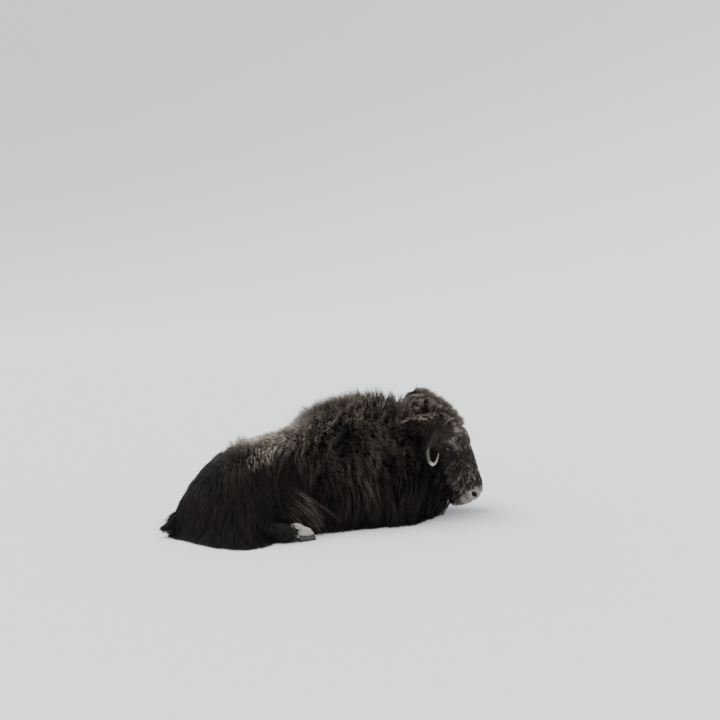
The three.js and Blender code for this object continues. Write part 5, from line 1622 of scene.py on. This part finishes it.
def ear_coat(label, side, rng):
    """Hair on the ear's back and rims: pale and fuzzy above, partly its own pale colour and partly painted
    light on hair facing up, and dark below and in the hollow.
    """
    count = EAR_TUFTS
    shares = rng.uniform(0.02, 1, count)
    leaf = ear_leaf(side, shares)
    place = np.sin(rng.uniform(-np.pi / 2, np.pi / 2, count))
    angle = place * leaf["bend"]
    roots = ear_back(leaf, angle)
    inside = rng.uniform(0, 1, count) < EAR_INSIDE
    roots = np.where(inside[:, None], roots + leaf["opening"] * leaf["wall"][:, None], roots)
    outward = unit(-leaf["opening"] * np.cos(angle)[:, None] + leaf["across"] * np.sin(angle)[:, None])
    outward = np.where(inside[:, None], -outward, outward)
    # Painted light: hair that faces up takes the pale colour, partly as the ear's own pale rim and partly as
    # light from above; hair facing down and in the hollow stays dark.
    upper = ramp(outward[:, 2], -0.55, 0.2) * ~inside
    fall = leaf["tangent"] + np.array([0, 0, -0.2]) + leaf["across"] * (0.45 * place)[:, None]
    fall = fall + swirl(roots, 40, 0.5)
    tone = np.clip(upper * (0.75 + 0.45 * ripple(roots, 28, 24)), 0, 1)
    tip = mix(GUARD_TIP, EAR_PALE, tone) * rng.uniform(0.5, 1.5, (count, 1))
    home = np.stack([shares, (place + 1) / 2], -1) * 0.98
    return tuft_group(
        f"coat_ear_{label}", roots, outward, home, fall, rng.uniform(14, 40, count),
        rng.uniform(1.8, 3.2, count), (mix(FACE_DARK, WOOL_TIP, tone * 0.5), tip), rng, 0.42,
    )


# Hair round a limb: how many tufts, between which shares of its length, their fall along it,
# outwards and up, their lengths at the start and the end, widths, colours and flatness.
LIMB_COATS = {
    "shank": (1700, (0.05, 0.6), (1.0, 0.05, -0.6), (92, 40), (2.6, 4.2), (GUARD_DARK, GUARD_TIP), 0.2),
    "foot": (1900, (0.6, 1.0), (1.0, 0.1, -0.2), (24, 22), (1.8, 3.2), (FOOT_DARK, FOOT_PALE), 0.14),
    "tail": (620, (0.2, 1.0), (1.0, 0.2, -0.1), (78, 20), (2.2, 3.8), (GUARD_DARK, GUARD_TIP), 0.12),
}


def limb_coat(name, kind, joints, rng):
    """Hair round a limb's joints. Each tuft's length varies by a third."""
    count, span, fall, lengths, width, tones, flat = LIMB_COATS[kind]
    joints = np.asarray(joints, float)
    shares = rng.uniform(*span, count)
    radius = track(list(zip(np.linspace(0, 1, len(joints)), joints[:, 3])))(shares)
    line = smooth_route(joints[:, :3], shares)
    tangent = route_way(joints[:, :3], shares, 0.01)
    level = unit(np.cross(tangent, (0, 0, 1.0)))
    up = np.cross(level, tangent)
    turn = rng.uniform(0, 1, count)
    angle = 2 * np.pi * turn[:, None]
    normal = level * np.cos(angle) + up * np.sin(angle)
    roots = line + normal * radius[:, None]
    way = unit(tangent * fall[0] + normal * fall[1] + np.array([0, 0, fall[2]]) + swirl(roots, 60, 0.25))
    dark = np.broadcast_to(np.array(tones[0]), roots.shape)
    tip = np.array(tones[1]) * rng.uniform(0.7, 1.25, (count, 1))
    length = np.interp(shares, span, lengths) * rng.uniform(0.67, 1.33, count)
    home = np.stack([shares, turn], -1) * 0.98
    keep = roots[:, 2] > ROOT_FLOOR
    return tuft_group(
        name, roots[keep], normal[keep], home[keep], way[keep], length[keep],
        rng.uniform(*width, count)[keep], (dark[keep], np.minimum(tip, 0.9)[keep]), rng, flat,
    )


class MuskoxCoatSettings(bpy.types.PropertyGroup):
    """How dense the coat is."""

    body_tufts: IntProperty(
        name="Body Tufts", description="How many tufts grow on the trunk",
        default=42000, min=1000, max=60000,
    )
    head_tufts: IntProperty(
        name="Head Tufts", description="How many tufts grow on the head",
        default=18000, min=1000, max=24000,
    )


class MuskoxStageSettings(bpy.types.PropertyGroup):
    """The floor, the light and the camera."""

    floor_color: FloatVectorProperty(
        name="Floor Colour", description="Colour of the plain floor", subtype="COLOR",
        default=(0.86, 0.86, 0.86), min=0, max=1,
    )
    sky_strength: FloatProperty(
        name="Room Light", description="Strength of the even light from all round", default=1.0, min=0,
    )
    lamp_power: FloatProperty(
        name="Lamp Strength", description="Strength of the broad soft lamp overhead", default=3.4, min=0,
    )
    lens: FloatProperty(
        name="Lens", description="Focal length of the camera", default=46.1, min=10,
        subtype="DISTANCE_CAMERA",
    )


class MUSKOX_OT_skin(bpy.types.Operator):
    """Build the one skin that stands for the frame's flesh"""

    bl_idname = "muskox.skin"
    bl_label = "Build Skin"

    def execute(self, context):
        skin = build_skin()
        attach(skin, BODY)
        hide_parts(*FLESH)
        return {"FINISHED"}


class MUSKOX_OT_coat(bpy.types.Operator):
    """Grow the coat's tufts over the trunk, head, ears, tail and feet"""

    bl_idname = "muskox.coat"
    bl_label = "Grow Coat"

    def execute(self, context):
        settings = context.scene.muskox_coat
        rng = np.random.default_rng(SEED)
        pieces = body_coat(settings.body_tufts, rng) + head_coat(settings.head_tufts, rng)
        for label, side in SIDES.items():
            pieces.append(ear_coat(label, side, rng))
            shank = HIND_SHANK if side > 0 else mirrored(HIND_SHANK, FAR_LEG_SHIFT["hind"])
            for kind in ("shank", "foot"):
                pieces.append(limb_coat(f"coat_{kind}_{label}", kind, shank, rng))
        pieces.append(limb_coat("coat_tail", "tail", TAIL, rng))
        for piece in pieces:
            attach(piece, BODY)
        return {"FINISHED"}


class MUSKOX_OT_eyes(bpy.types.Operator):
    """Build both eyes"""

    bl_idname = "muskox.eyes"
    bl_label = "Build Eyes"

    def execute(self, context):
        for label, side in SIDES.items():
            build_eye(label, side)
        return {"FINISHED"}


class MUSKOX_OT_horns(bpy.types.Operator):
    """Build both horns"""

    bl_idname = "muskox.horns"
    bl_label = "Build Horns"

    def execute(self, context):
        for label, side in SIDES.items():
            build_horn(label, side)
        return {"FINISHED"}


class MUSKOX_OT_hooves(bpy.types.Operator):
    """Build the hooves and dewclaws of all four feet"""

    bl_idname = "muskox.hooves"
    bl_label = "Build Hooves"

    def execute(self, context):
        for end in HOOF_BACKS:
            for label, side in SIDES.items():
                build_hooves(end, label, side)
        return {"FINISHED"}


class MUSKOX_OT_stage(bpy.types.Operator):
    """Set the floor, the soft light and the camera"""

    bl_idname = "muskox.stage"
    bl_label = "Set Stage"

    def execute(self, context):
        settings = context.scene.muskox_stage
        build_floor(settings)
        build_lights(context.scene, settings)
        build_camera(context.scene, settings)
        return {"FINISHED"}


class MUSKOX_PT_panel(bpy.types.Panel):
    """Lists the pieces that can be built"""

    bl_label = "Lying Muskox"
    bl_idname = "MUSKOX_PT_panel"
    bl_space_type = "VIEW_3D"
    bl_region_type = "UI"
    bl_category = "Muskox"

    def draw(self, context):
        for operator in (
            "muskox.skin", "muskox.coat", "muskox.eyes", "muskox.horns", "muskox.hooves", "muskox.stage",
        ):
            self.layout.operator(operator)
        self.layout.prop(context.scene.muskox_coat, "body_tufts")
        self.layout.prop(context.scene.muskox_coat, "head_tufts")
        self.layout.prop(context.scene.muskox_stage, "floor_color")


# The stage: the floor's sweep, the light's colour and way, and the photo's viewpoint.
SWEEP = {"flat": 13000, "bend": 8000, "height": 9000}
FLOOR_ROUGHNESS = 0.9
ROOM_COLOR = (0.93, 0.95, 1.0, 1)
LAMP_ANGLE, LAMP_WAY = 38, (0.45, -0.25, -1)
SENSOR_WIDTH = 36
CAMERA_PLACE = (-1596.7, -4422.3, 1300.0)
CAMERA_HEADING = (0.358, 0.934)
CAMERA_DROP = 5.76


def build_floor(settings):
    """The plain pale floor, which sweeps up into a wall all round.

    A profile turned about the middle: flat, then a quarter of a circle, then upright.
    """
    bend = np.linspace(0, np.pi / 2, 20)
    reach = np.concatenate([[10, 4000, SWEEP["flat"] * 0.7], SWEEP["flat"] + SWEEP["bend"] * np.sin(bend)])
    height = np.concatenate([[0, 0, 0], SWEEP["bend"] * (1 - np.cos(bend))])
    reach, height = np.append(reach, reach[-1]), np.append(height, SWEEP["height"])
    turn = np.linspace(0, 2 * np.pi, 120, endpoint=False)
    points = np.stack([
        reach[:, None] * np.cos(turn), reach[:, None] * np.sin(turn), height[:, None] + 0 * turn,
    ], -1)
    sides = len(turn)
    points = np.concatenate([points.reshape(-1, 3), [[0, 0, 0]]])
    quads = grid_faces(len(reach), sides)
    near = np.arange(sides)
    middle = np.stack([np.full(sides, len(points) - 1), near, (near + 1) % sides], -1)
    floor = new_mesh("floor", points, np.concatenate([quads[:, [0, 2, 1]], quads[:, [0, 3, 2]], middle]))
    material, nodes, _, shader = new_finish("floor_pale")
    if nodes:
        shader.inputs["Base Color"].default_value = (*settings.floor_color, 1)
        shader.inputs["Roughness"].default_value = FLOOR_ROUGHNESS
    floor.data.materials.append(material)


def build_lights(scene, settings):
    """Even light from all round and one broad soft lamp, high up on the tail's side."""
    world = bpy.data.worlds.new("room")
    world.use_nodes = True
    background = world.node_tree.nodes["Background"]
    background.inputs["Color"].default_value = ROOM_COLOR
    background.inputs["Strength"].default_value = settings.sky_strength
    scene.world = world
    lamp_data = bpy.data.lights.new("soft_lamp", "SUN")
    lamp_data.energy = settings.lamp_power
    lamp_data.angle = math.radians(LAMP_ANGLE)
    lamp = bpy.data.objects.new("soft_lamp", lamp_data)
    lamp.rotation_euler = Vector(LAMP_WAY).to_track_quat("-Z", "Y").to_euler()
    scene.collection.objects.link(lamp)


def build_camera(scene, settings):
    """The camera at the photo's viewpoint."""
    data = bpy.data.cameras.new("camera")
    data.lens, data.sensor_width = settings.lens, SENSOR_WIDTH
    camera = bpy.data.objects.new("camera", data)
    place = np.array(CAMERA_PLACE) * MM + SHIFT
    heading = unit(np.array(CAMERA_HEADING))
    drop = math.radians(CAMERA_DROP)
    aim = Vector((*(heading * math.cos(drop)), -math.sin(drop)))
    camera.location = Vector(place)
    camera.rotation_euler = aim.to_track_quat("-Z", "Y").to_euler()
    scene.collection.objects.link(camera)
    scene.camera = camera


CLASSES = (
    MuskoxCoatSettings, MuskoxStageSettings, MUSKOX_OT_skin, MUSKOX_OT_coat, MUSKOX_OT_eyes,
    MUSKOX_OT_horns, MUSKOX_OT_hooves, MUSKOX_OT_stage, MUSKOX_PT_panel,
)


def register():
    """Registers the classes and their settings."""
    for item in CLASSES:
        bpy.utils.register_class(item)
    bpy.types.Scene.muskox_coat = PointerProperty(type=MuskoxCoatSettings)
    bpy.types.Scene.muskox_stage = PointerProperty(type=MuskoxStageSettings)


def unregister():
    """Removes the settings and the classes."""
    del bpy.types.Scene.muskox_stage
    del bpy.types.Scene.muskox_coat
    for item in reversed(CLASSES):
        bpy.utils.unregister_class(item)


def main():
    """Builds every piece in order."""
    register()
    bpy.ops.muskox.skin()
    bpy.ops.muskox.coat()
    bpy.ops.muskox.eyes()
    bpy.ops.muskox.horns()
    bpy.ops.muskox.hooves()
    bpy.ops.muskox.stage()


if __name__ == "__main__":
    main()
